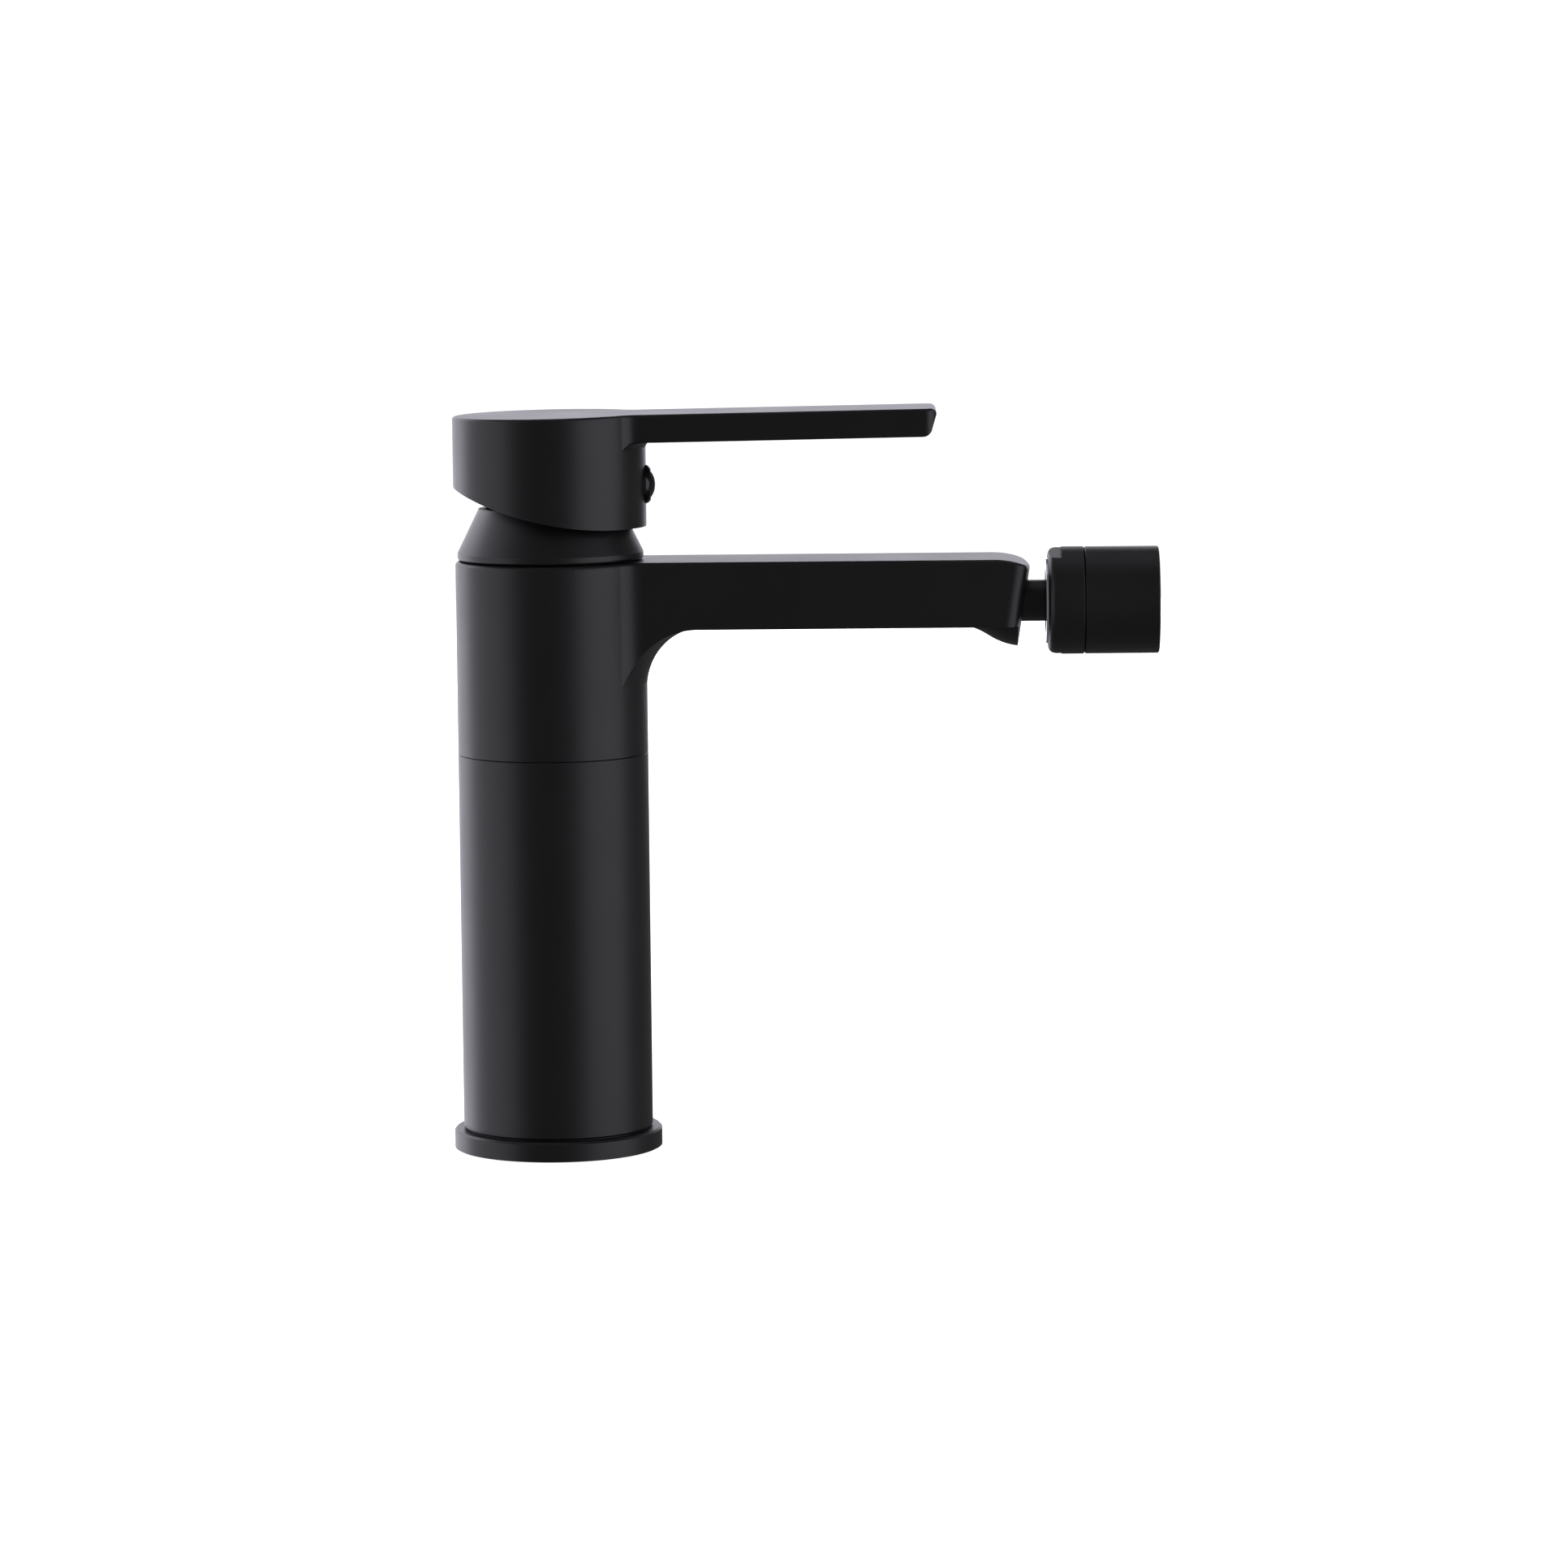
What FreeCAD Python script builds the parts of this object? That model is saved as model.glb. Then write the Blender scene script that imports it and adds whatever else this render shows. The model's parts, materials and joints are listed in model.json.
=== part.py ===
import FreeCAD, Part
import math
import os

import Sketcher
from FreeCAD import Rotation, Vector

# Single-lever mixer on a tall round column, with a swivelling outlet on the end of its spout.
# Frame: +Z up, +X along the spout, origin on the column axis in the plane of the deck.

# ---------------------------------------------------------------- driving sizes, millimetres
SIZES = {
    # foot ring, sleeve and the reveals between stacked pieces
    "ring_radius": 26.35,
    "ring_height": 5.0,
    "ring_bore_radius": 19.0,
    "ring_edge": 0.5,
    "gasket_depth": 1.2,
    "gasket_width": 2.4,
    "locating_height": 3.6,
    "reveal": 0.25,
    "seam_gap": 0.1,
    "column_radius": 24.0,
    "sleeve_wall": 2.0,
    "sleeve_length": 95.3,
    "sleeve_edge": 0.4,
    # body and spout
    "body_length": 48.65,
    "skirt_length": 8.6,
    "skirt_wall": 3.0,
    "skirt_seal_side": 1.5,
    "body_edge": 1.1,
    "spout_reach": 121.0,
    "spout_half_width": 13.6,
    "spout_depth": 16.9,
    "spout_root_fillet": 8.0,
    "spout_web_radius": 15.5,
    "nose_radius": 60.0,
    "nose_corner": 3.5,
    "nose_lean": 9.0,
    "nose_crown_radius": 20.5,
    "nose_crown_length": 9.5,
    "neck_drop": 11.3,
    "boss_radius": 11.5,
    "boss_length": 19.0,
    "boss_flat": 1.5,
    # waterways
    "duct_wall": 1.7,
    "duct_depth": 4.2,
    "duct_width": 6.6,
    "channel_roof": 3.2,
    "channel_width": 19.0,
    "gallery_height": 5.0,
    "gallery_roof": 2.8,
    "port_radius": 2.9,
    "inlet_port_x": 4.5,
    "inlet_port_y": 6.9,
    "outlet_port_x": 7.5,
    "hose_thread_radius": 4.5,
    "hose_thread_depth": 10.0,
    "stud_thread_radius": 3.4,
    "stud_thread_depth": 9.0,
    "stud_x": 13.5,
    # cartridge
    "cartridge_depth": 29.8,
    "cartridge_radius": 17.5,
    "base_plate": 4.0,
    "seal_width": 1.4,
    "seal_height": 1.4,
    "locating_pin_radius": 1.3,
    "locating_pin_length": 2.0,
    "locating_pin_y": 13.6,
    "fixed_disc_thickness": 3.5,
    "fixed_disc_radius": 14.4,
    "moving_disc_thickness": 4.0,
    "moving_disc_radius": 12.7,
    "moving_disc_offset": 2.0,
    "mixing_pocket_length": 9.9,
    "mixing_pocket_width": 17.0,
    "mixing_pocket_depth": 2.2,
    "carrier_height": 5.5,
    "carrier_recess": 1.2,
    "housing_wall": 2.3,
    "housing_roof": 1.7,
    "housing_neck_radius": 14.7,
    "housing_neck_height": 11.0,
    "rotor_flange_radius": 14.3,
    "rotor_flange_height": 2.5,
    "rotor_radius": 12.6,
    "rotor_height": 20.0,
    "rotor_slot_back": 10.2,
    "rotor_slot_front": 7.6,
    "stem_width": 7.0,
    "stem_ball_radius": 3.0,
    "stem_waist_radius": 2.1,
    "stem_arm": 9.0,
    "stem_reach": 32.0,
    "pivot_pin_radius": 1.5,
    # nut and bonnet
    "nut_radius": 19.4,
    "nut_wall_gap": 0.25,
    "nut_hub_radius": 17.2,
    "nut_hub_height": 4.0,
    "nut_slot_width": 4.0,
    "nut_slot_depth": 1.8,
    "bonnet_radius": 23.4,
    "bonnet_foot_radius": 22.7,
    "bonnet_band": 1.8,
    "bonnet_height": 12.9,
    "bonnet_rim_radius": 17.95,
    "bonnet_rim_wall": 1.6,
    # handle; its heights are counted from the top of the body
    "cap_radius": 24.25,
    "cap_wall": 2.7,
    "cap_top": 36.65,
    "cap_ceiling": 26.7,
    "cap_front_foot": 8.45,
    "cap_foot_radius": 100.0,
    "cap_foot_x": 20.0,
    "lever_rise": 0.0125,
    "lever_thickness": 7.05,
    "lever_half_width": 13.5,
    "lever_reach": 97.3,
    "lever_root_fillet": 2.2,
    "lever_side_fillet": 6.0,
    "lever_tip_corner": 3.0,
    "lever_tip_back": 1.1,
    "lever_tip_low_corner": 2.4,
    "lever_tip_low_rise": 1.92,
    "handle_edge": 0.7,
    "boss_socket_radius": 7.0,
    "boss_socket_foot": 15.7,
    "socket_roof": 1.4,
    "grub_radius": 2.5,
    "grub_length": 6.0,
    "grub_key_radius": 1.4,
    "key_hole_radius": 2.9,
    # index button
    "index_height": 18.9,
    "index_radius": 4.9,
    "index_stem_radius": 3.9,
    "index_rim": 1.1,
    "index_rim_height": 1.93,
    "index_rim_edge": 0.9,
    "index_rim_round": 2.0,
    "index_mark_floor": 0.68,
    "index_mark_top": 1.35,
    "index_lens_edge": 0.3,
    "index_projection": 2.4,
    # swivel outlet; stations along its axis are counted from the centre of the ball
    "ball_ahead": 11.0,
    "ball_radius": 8.0,
    "ball_nose": 6.2,
    "neck_radius": 5.2,
    "stem_thread_radius": 4.9,
    "stem_thread_end": 23.0,
    "neck_seat": 15.0,
    "stem_bore_radius": 3.0,
    "ball_gap": 0.1,
    "shell_wall": 0.7,
    "collar_radius": 13.55,
    "collar_back": 7.0,
    "collar_front": 2.05,
    "collar_round": 2.2,
    "collar_recess": 0.8,
    "collar_recess_radius": 10.9,
    "collar_mouth_radius": 7.8,
    "collar_thread_radius": 11.5,
    "flat_depth": 1.2,
    "flat_length": 3.4,
    "trim_ring_bore": 8.1,
    "trim_ring_height": 1.3,
    "barrel_radius": 13.5,
    "barrel_back": 2.2,
    "barrel_front": 20.9,
    "barrel_edge": 0.3,
    "spigot_back": 1.9,
    "spigot_wall": 2.4,
    "seat_front": 7.2,
    "seat_bore_radius": 5.65,
    "seat_ring_depth": 1.6,
    "barrel_floor": 1.5,
    "aerator_radius": 11.2,
    "aerator_wall": 1.4,
    "aerator_recess": 0.9,
    "washer_height": 1.5,
    "washer_width": 3.2,
    "regulator_height": 2.0,
    "screen_height": 0.3,
    "screen_spacing": 1.2,
    "grid_height": 1.6,
    "grid_hole_radius": 0.85,
    "grid_pitch": 2.4,
    "grid_rim": 0.5,
    "jet_circle_radius": 4.8,
    # clearances
    "fit_gap": 0.1,
    "root_sink": 0.05,
    "slide_gap": 0.25,
}

# how far an edge may lie from a level and still count as on it
LEVEL_TOLERANCE = 0.02

document = FreeCAD.newDocument("column_mixer")
sheet = document.addObject("Spreadsheet::Sheet", "Sizes")
for row, (alias, number) in enumerate(SIZES.items(), start=1):
    sheet.set(f"A{row}", alias)
    sheet.set(f"B{row}", str(number))
    sheet.setAlias(f"B{row}", alias)
document.recompute()


class Size:
    """A number together with the sheet expression that gives it."""

    def __init__(self, value, text):
        self.value = value
        self.text = text

    def __add__(self, other):
        other = sized(other)
        return Size(self.value + other.value, f"({self.text} + {other.text})")

    def __radd__(self, other):
        return sized(other) + self

    def __sub__(self, other):
        other = sized(other)
        return Size(self.value - other.value, f"({self.text} - {other.text})")

    def __rsub__(self, other):
        return sized(other) - self

    def __mul__(self, other):
        other = sized(other)
        return Size(self.value * other.value, f"({self.text} * {other.text})")

    def __rmul__(self, other):
        return sized(other) * self

    def __truediv__(self, other):
        other = sized(other)
        return Size(self.value / other.value, f"({self.text} / {other.text})")

    def __neg__(self):
        return sized(0) - self


def sized(number):
    """Wrap a plain number so that it mixes with sheet sizes."""
    if isinstance(number, Size):
        return number
    return Size(float(number), repr(number))


def size(alias):
    """The sheet's value under an alias."""
    return Size(float(getattr(sheet, alias)), f"Sizes.{alias}")


def root(number):
    """Square root that stays tied to the sheet."""
    return Size(math.sqrt(number.value), f"sqrt({number.text})")


def leg(hypotenuse, side):
    """The other short side of a right triangle."""
    return root(hypotenuse * hypotenuse - side * side)


# ---------------------------------------------------------------- building helpers
nodes = []


def keep(item, label):
    """Name a finished sub-part and list it for export."""
    item.Label = label
    nodes.append(item)
    return item


def bind(item, name, number):
    """Tie a property of an object to the sheet."""
    item.setExpression(name, sized(number).text)


def put(item, x=0, y=0, z=0, turn=None):
    """Place an object by sheet sizes, with an optional fixed turn."""
    if turn is not None:
        item.Placement.Rotation = turn
    for letter, number in zip("xyz", (x, y, z)):
        bind(item, f"Placement.Base.{letter}", number)


ALONG = {
    "Z": Rotation(),
    "X": Rotation(Vector(0, 1, 0), 90),
    "Y": Rotation(Vector(1, 0, 0), -90),
}
UPRIGHT = Rotation(Vector(1, 0, 0), 90)


def cylinder(name, radius, height, x=0, y=0, z=0, along="Z"):
    """A round bar from its foot, along one of the axes."""
    item = document.addObject("Part::Cylinder", name)
    bind(item, "Radius", radius)
    bind(item, "Height", height)
    put(item, x, y, z, ALONG[along])
    return item


def box(name, length, width, height, x=0, y=0, z=0):
    """A block centred on y, with its low x and low z given."""
    item = document.addObject("Part::Box", name)
    bind(item, "Length", length)
    bind(item, "Width", width)
    bind(item, "Height", height)
    put(item, x, y - sized(width) / 2, z)
    return item


def ring(name, inner, outer, height, x=0, y=0, z=0, along="Z"):
    """A flat ring or a tube."""
    disc = cylinder(f"{name}_disc", outer, height, x, y, z, along)
    bore = cylinder(f"{name}_bore", inner, height, x, y, z, along)
    return cut(name, disc, [bore])


def fuse(name, pieces):
    """Join pieces into one solid."""
    item = document.addObject("Part::MultiFuse", name)
    item.Shapes = pieces
    item.Refine = True
    return item


def common(name, pieces):
    """Keep what all the pieces share."""
    item = document.addObject("Part::MultiCommon", name)
    item.Shapes = pieces
    return item


def group(name, pieces):
    """Hold separate solids in one node."""
    item = document.addObject("Part::Compound", name)
    item.Links = pieces
    return item


def cut(name, base, tools):
    """Take tools away from a base."""
    item = document.addObject("Part::Cut", name)
    item.Base = base
    item.Tool = tools[0] if len(tools) == 1 else fuse(f"{name}_tools", tools)
    item.Refine = True
    return item


def arc_between(start, end, radius, side):
    """A short arc; side is +1 with its centre to the left of the way from start to end."""
    chord = end - start
    middle = (start + end) / 2
    across = Vector(-chord.y, chord.x, 0).normalize()
    half = chord.Length / 2
    centre = middle + across * side * math.sqrt(max(radius * radius - half * half, 0))
    circle = Part.Circle(centre, Vector(0, 0, 1), radius)
    first, last = (start, end) if side > 0 else (end, start)
    first_angle = math.atan2(first.y - centre.y, first.x - centre.x)
    last_angle = math.atan2(last.y - centre.y, last.x - centre.x)
    if last_angle < first_angle:
        last_angle += 2 * math.pi
    return Part.ArcOfCircle(circle, first_angle, last_angle)


def outline(sketch, points):
    """Close a loop. A point is (x, y), or (x, y, radius, side) when an arc leads to the next."""
    corners = [(sized(point[0]), sized(point[1])) for point in points]
    count = len(points)
    offset = sketch.GeometryCount
    ends = []
    for index, point in enumerate(points):
        start = Vector(corners[index][0].value, corners[index][1].value, 0)
        after = corners[(index + 1) % count]
        end = Vector(after[0].value, after[1].value, 0)
        if len(point) == 2:
            sketch.addGeometry(Part.LineSegment(start, end))
            ends.append((1, 2))
        else:
            arc = arc_between(start, end, sized(point[2]).value, point[3])
            sketch.addGeometry(arc)
            ends.append((1, 2) if point[3] > 0 else (2, 1))
    for index, point in enumerate(points):
        here = offset + index
        after = offset + (index + 1) % count
        start, end = ends[index]
        next_start = ends[(index + 1) % count][0]
        sketch.addConstraint(Sketcher.Constraint("Coincident", here, end, after, next_start))
        for kind, axis, number in zip(("DistanceX", "DistanceY"), (-2, -1), corners[index]):
            if number.value == 0:
                sketch.addConstraint(Sketcher.Constraint("PointOnObject", here, start, axis))
                continue
            rule = Sketcher.Constraint(kind, -1, 1, here, start, number.value)
            place = sketch.addConstraint(rule)
            bind(sketch, f"Constraints[{place}]", number)
        if len(point) == 4:
            number = sized(point[2])
            place = sketch.addConstraint(Sketcher.Constraint("Radius", here, number.value))
            bind(sketch, f"Constraints[{place}]", number)


def plane(body, role):
    """One of a body's own origin planes."""
    return next(item for item in body.Origin.OriginFeatures if item.Role == role)


def turned(name, points, x=0, z=0, along="Z"):
    """A body turned from a half section of (radius, station) points about its own axis."""
    body = document.addObject("PartDesign::Body", name)
    sketch = body.newObject("Sketcher::SketchObject", f"{name}_section")
    sketch.AttachmentSupport = [(plane(body, "XZ_Plane"), "")]
    sketch.MapMode = "FlatFace"
    outline(sketch, points)
    feature = body.newObject("PartDesign::Revolution", f"{name}_turn")
    feature.Profile = sketch
    feature.ReferenceAxis = (sketch, ["V_Axis"])
    feature.Angle = 360
    put(body, x, 0, z, ALONG[along])
    return body


def slab(name, points, low, height):
    """A plan outline pulled up from a level."""
    sketch = document.addObject("Sketcher::SketchObject", f"{name}_plan")
    outline(sketch, points)
    put(sketch, z=low)
    item = document.addObject("Part::Extrusion", name)
    item.Base = sketch
    item.DirMode = "Normal"
    item.Solid = True
    bind(item, "LengthFwd", height)
    return item


def profile(name, points, width):
    """A side outline in x and z, pulled equally to both sides of the middle plane."""
    sketch = document.addObject("Sketcher::SketchObject", f"{name}_side")
    outline(sketch, points)
    sketch.Placement.Rotation = UPRIGHT
    item = document.addObject("Part::Extrusion", name)
    item.Base = sketch
    item.DirMode = "Normal"
    item.Solid = True
    item.Symmetric = True
    bind(item, "LengthFwd", width)
    return item


def rounded(name, base, steps):
    """A body on a finished shape; each step rounds the edges that its test picks."""
    document.recompute()
    body = document.addObject("PartDesign::Body", name)
    body.BaseFeature = base
    document.recompute()
    for index, (radius, wanted) in enumerate(steps):
        edges = []
        for number, edge in enumerate(body.Shape.Edges, start=1):
            if wanted(edge):
                edges.append(f"Edge{number}")
        feature = body.newObject("PartDesign::Fillet", f"{name}_round{index}")
        feature.Base = (body.Group[-2] if index else body.Group[0], edges)
        bind(feature, "Radius", radius)
        body.Tip = feature
        document.recompute()
    return body


def middle(edge):
    """The point half way along an edge."""
    return edge.valueAt((edge.FirstParameter + edge.LastParameter) / 2)


def carved(name, base, steps):
    """A plain feature made by adding, cutting and rounding in a fixed order."""
    document.recompute()
    shape = base.Shape.copy()
    for action, thing in steps:
        if action == "add":
            shape = shape.fuse(thing.Shape.copy()).removeSplitter()
        elif action == "cut":
            shape = shape.cut(thing.Shape.copy())
        else:
            radius, wanted = thing
            edges = [edge for edge in shape.Edges if wanted(edge)]
            shape = shape.makeFillet(radius.value, edges)
    item = document.addObject("Part::Feature", name)
    item.Shape = shape
    return item


# ---------------------------------------------------------------- shared levels and places
fit_gap = size("fit_gap")
slide_gap = size("slide_gap")
reveal = size("reveal")
column_radius = size("column_radius")
sleeve_bore = column_radius - size("sleeve_wall")
sleeve_foot = size("ring_height") + reveal
sleeve_top = sleeve_foot + size("sleeve_length")
body_foot = sleeve_top + size("seam_gap")
body_top = body_foot + size("body_length")
skirt_foot = body_foot - size("skirt_length")
bonnet_foot = body_top + reveal
bonnet_top = bonnet_foot + size("bonnet_height")
spout_low = body_top - size("spout_depth")
neck_z = body_top - size("neck_drop")
floor_z = body_top - size("cartridge_depth")
plate_top = floor_z + size("base_plate")
fixed_top = plate_top + size("fixed_disc_thickness")
moving_top = fixed_top + size("moving_disc_thickness")
carrier_top = moving_top + size("carrier_height")
rotor_foot = carrier_top + fit_gap * 5
flange_top = rotor_foot + size("rotor_flange_height")
rotor_top = rotor_foot + size("rotor_height")
housing_ceiling = flange_top + slide_gap
shoulder_z = housing_ceiling + size("housing_roof")
ball_z = moving_top + size("carrier_recess") + size("stem_ball_radius") + slide_gap * 2
pivot_z = ball_z + size("stem_arm")
ball_x = size("spout_reach") + size("ball_ahead")


def root_tangent(radius, fillet, half_width):
    """Where a straight arm's root fillets leave a round column and meet the arm."""
    arm_x = leg(radius + fillet, half_width + fillet)
    scale = radius / (radius + fillet)
    return arm_x, scale * arm_x, scale * (half_width + fillet)


def arm_plan(column, fillet, half_width, end_points):
    """A straight arm along +x, its root fillets sunk a hair into a round column."""
    radius = column - size("root_sink")
    arm_x, touch_x, touch_y = root_tangent(radius, fillet, half_width)
    start = [(touch_x, -touch_y, fillet, -1), (arm_x, -half_width)]
    back = [(arm_x, half_width, fillet, -1), (touch_x, touch_y)]
    return start + end_points + back


def flare(name, column, fillet, top):
    """A round column that sweeps out into a flat underside, its foot sunk a hair."""
    radius = column - size("root_sink")
    return turned(name, [
        (0, top - fillet),
        (radius, top - fillet, fillet, -1),
        (radius + fillet, top),
        (0, top),
    ])


# ---------------------------------------------------------------- foot
def make_foot():
    """The foot ring, with a spigot for the sleeve and a gasket let into its underside."""
    ring_radius = size("ring_radius")
    ring_height = size("ring_height")
    bore = size("ring_bore_radius")
    edge = size("ring_edge")
    spigot = sleeve_bore - fit_gap
    gasket_depth = size("gasket_depth")
    gasket_inner = sleeve_bore - size("gasket_width") / 2
    gasket_outer = gasket_inner + size("gasket_width")
    shoulder = column_radius - size("sleeve_edge") - reveal
    keep(turned("BaseRing", [
        (bore, 0),
        (gasket_inner, 0),
        (gasket_inner, gasket_depth),
        (gasket_outer, gasket_depth),
        (gasket_outer, 0),
        (ring_radius - edge, 0),
        (ring_radius, edge / 2),
        (ring_radius, ring_height - edge),
        (ring_radius - edge, ring_height),
        (shoulder, ring_height),
        (shoulder, sleeve_foot),
        (spigot, sleeve_foot),
        (spigot, ring_height + size("locating_height")),
        (bore, ring_height + size("locating_height")),
    ]), "base_ring")
    keep(turned("BaseGasket", [
        (gasket_inner, 0),
        (gasket_outer, 0),
        (gasket_outer, gasket_depth),
        (gasket_inner, gasket_depth),
    ]), "base_gasket")


def make_sleeve():
    """The lower sleeve and the seal in the body's skirt; returns the seal's groove."""
    edge = size("sleeve_edge")
    keep(turned("ColumnSleeve", [
        (sleeve_bore, sleeve_foot),
        (column_radius - edge, sleeve_foot),
        (column_radius, sleeve_foot + edge),
        (column_radius, sleeve_top - edge / 2),
        (column_radius - edge / 2, sleeve_top),
        (sleeve_bore, sleeve_top),
    ]), "column_sleeve")
    seal_height = size("skirt_seal_side")
    seal_foot = skirt_foot + seal_height
    groove = sleeve_bore - seal_height
    keep(turned("SkirtSeal", [
        (groove, seal_foot),
        (sleeve_bore, seal_foot),
        (sleeve_bore, seal_foot + seal_height),
        (groove, seal_foot + seal_height),
    ]), "skirt_seal")
    return groove, seal_foot, seal_height


# ---------------------------------------------------------------- body with the spout
def spout_solid():
    """The outer shape: a round column with a flat spout that flares out of it."""
    radius = column_radius
    fillet = size("spout_root_fillet")
    half_width = size("spout_half_width")
    web_radius = size("spout_web_radius")
    reach = size("spout_reach")
    past_end = reach + fillet
    ends = [(past_end, -half_width), (past_end, half_width)]
    plan = arm_plan(radius, fillet, half_width, ends)
    bar = slab("spout_bar", plan, spout_low, size("spout_depth"))
    web_slab = slab("spout_web_slab", plan, spout_low - web_radius, web_radius)
    web = common("spout_web", [web_slab, flare("spout_flare", radius, web_radius, spout_low)])
    boss_radius = size("boss_radius")
    start_radius = boss_radius / 2
    drop = boss_radius - start_radius
    run = size("boss_length")
    boss_end = -size("boss_flat")
    sweep = (run * run + drop * drop) / (drop * 4)
    boss = turned("boss_turn", [
        (0, boss_end - run),
        (start_radius, boss_end - run, sweep, -1),
        (start_radius + drop / 2, boss_end - run / 2, sweep, 1),
        (boss_radius, boss_end),
        (boss_radius, fillet),
        (0, fillet),
    ], x=reach, z=neck_z, along="X")
    lower_half = box("boss_half", reach, boss_radius * 3, boss_radius * 2,
                     x=fillet * 2, z=neck_z - boss_radius * 2)
    belly = common("spout_belly", [boss, lower_half])
    arm = fuse("spout_arm", [bar, web, belly])
    nose_radius = size("nose_radius")
    corner = size("nose_corner")
    corner_y = half_width - corner
    corner_run = leg(nose_radius - corner, corner_y)
    share = nose_radius / (nose_radius - corner)
    touch_x = share * corner_run - nose_radius
    touch_y = share * corner_y
    corner_x = corner_run - nose_radius
    nose = document.addObject("Sketcher::SketchObject", "nose_plan")
    outline(nose, [
        (-reach * 2, -half_width),
        (corner_x, -half_width, corner, 1),
        (touch_x, -touch_y, nose_radius, 1),
        (touch_x, touch_y, corner, 1),
        (corner_x, half_width),
        (-reach * 2, half_width),
    ])
    nose.Placement.Rotation = Rotation(Vector(0, 1, 0), 1)
    bind(nose, "Placement.Rotation.Angle", size("nose_lean"))
    put(nose, x=reach, z=body_top)
    envelope = document.addObject("Part::Extrusion", "nose_envelope")
    envelope.Base = nose
    envelope.DirMode = "Normal"
    envelope.Solid = True
    envelope.Symmetric = True
    bind(envelope, "LengthFwd", reach)
    wide_back = cylinder("back_keeper", radius + fillet, size("body_length"), z=body_foot)
    limits = fuse("spout_limits", [envelope, wide_back])
    trimmed = common("spout_trimmed", [arm, limits])
    crown_start = reach - size("nose_crown_length")
    crown_radius = size("nose_crown_radius")
    crown_end = reach + corner
    crown_low = body_top - crown_radius + leg(crown_radius, crown_end - crown_start)
    crown = profile("nose_crown", [
        (crown_start, body_top, crown_radius, -1),
        (crown_end, crown_low),
        (crown_end, body_top + fillet),
        (crown_start, body_top + fillet),
    ], half_width * 4)
    crowned = cut("spout_crowned", trimmed, [crown])
    column = cylinder("body_column", radius, body_top - body_foot, z=body_foot)
    return fuse("spout_outside", [column, crowned])


def spout_hollows(groove, groove_foot, groove_height):
    """Everything bored, cored or tapped in the body."""
    web_radius = size("spout_web_radius")
    reach = size("spout_reach")
    wall = size("duct_wall")
    depth = size("duct_depth")
    cartridge_bore = size("cartridge_radius") + fit_gap
    nut_bore = size("nut_radius") + fit_gap
    tools = []
    tools.append(cylinder("cartridge_bore", cartridge_bore, size("body_length"), z=floor_z))
    tools.append(cylinder("nut_bore", nut_bore, size("body_length"), z=shoulder_z - fit_gap * 5))
    # outlet: a port in the floor, a gallery forward, a duct up the flare, the spout channel
    gallery_top = floor_z - size("gallery_roof")
    gallery_low = gallery_top - size("gallery_height")
    outlet_x = -size("outlet_port_x")
    port_radius = size("port_radius")
    tools.append(cylinder("outlet_port", port_radius, floor_z - gallery_low,
                          x=outlet_x, z=gallery_low))
    centre_x = column_radius + web_radius
    centre_z = spout_low - web_radius
    outer_sweep = web_radius + wall
    inner_sweep = web_radius + wall + depth
    channel_low = spout_low + wall
    duct = [
        (outlet_x - port_radius, gallery_low),
        (centre_x - outer_sweep, gallery_low),
        (centre_x - outer_sweep, centre_z, outer_sweep, -1),
        (centre_x, channel_low),
        (centre_x, channel_low + depth, inner_sweep, 1),
        (centre_x - inner_sweep, centre_z),
        (centre_x - inner_sweep, gallery_top),
        (outlet_x - port_radius, gallery_top),
    ]
    tools.append(profile("duct", duct, size("duct_width")))
    channel_start = nut_bore + size("sleeve_wall") * 2
    thread_end = reach - size("ball_radius")
    tools.append(box("channel", thread_end - channel_start, size("channel_width"),
                     body_top - size("channel_roof") - channel_low,
                     x=channel_start, z=channel_low))
    # socket of the swivel stem
    stem_bore = size("stem_thread_radius") + fit_gap
    seat_x = ball_x - size("neck_seat")
    tools.append(cylinder("stem_thread", stem_bore, size("ball_radius") * 3,
                          x=thread_end - size("ball_radius"), z=neck_z, along="X"))
    tools.append(cylinder("neck_counterbore", size("neck_radius") + fit_gap * 2,
                          size("ball_radius") * 2, x=seat_x, z=neck_z, along="X"))
    # inlets, hose threads and the fixing stud, all from below
    for side in (-1, 1):
        tools.append(cylinder("inlet_port", port_radius, floor_z - body_foot,
                              x=size("inlet_port_x"), y=side * size("inlet_port_y"),
                              z=body_foot))
        tools.append(cylinder("hose_thread", size("hose_thread_radius"),
                              size("hose_thread_depth"), x=size("inlet_port_x"),
                              y=side * size("inlet_port_y"), z=body_foot))
        tools.append(cylinder("locating_socket", size("locating_pin_radius") + fit_gap,
                              size("locating_pin_length") + fit_gap * 5, x=0,
                              y=side * size("locating_pin_y"),
                              z=floor_z - size("locating_pin_length") - fit_gap * 5))
    tools.append(cylinder("stud_thread", size("stud_thread_radius"),
                          size("stud_thread_depth"), x=-size("stud_x"), z=body_foot))
    tools.append(turned("seal_groove", [
        (groove, groove_foot),
        (column_radius, groove_foot),
        (column_radius, groove_foot + groove_height),
        (groove, groove_foot + groove_height),
    ]))
    return tools


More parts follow.
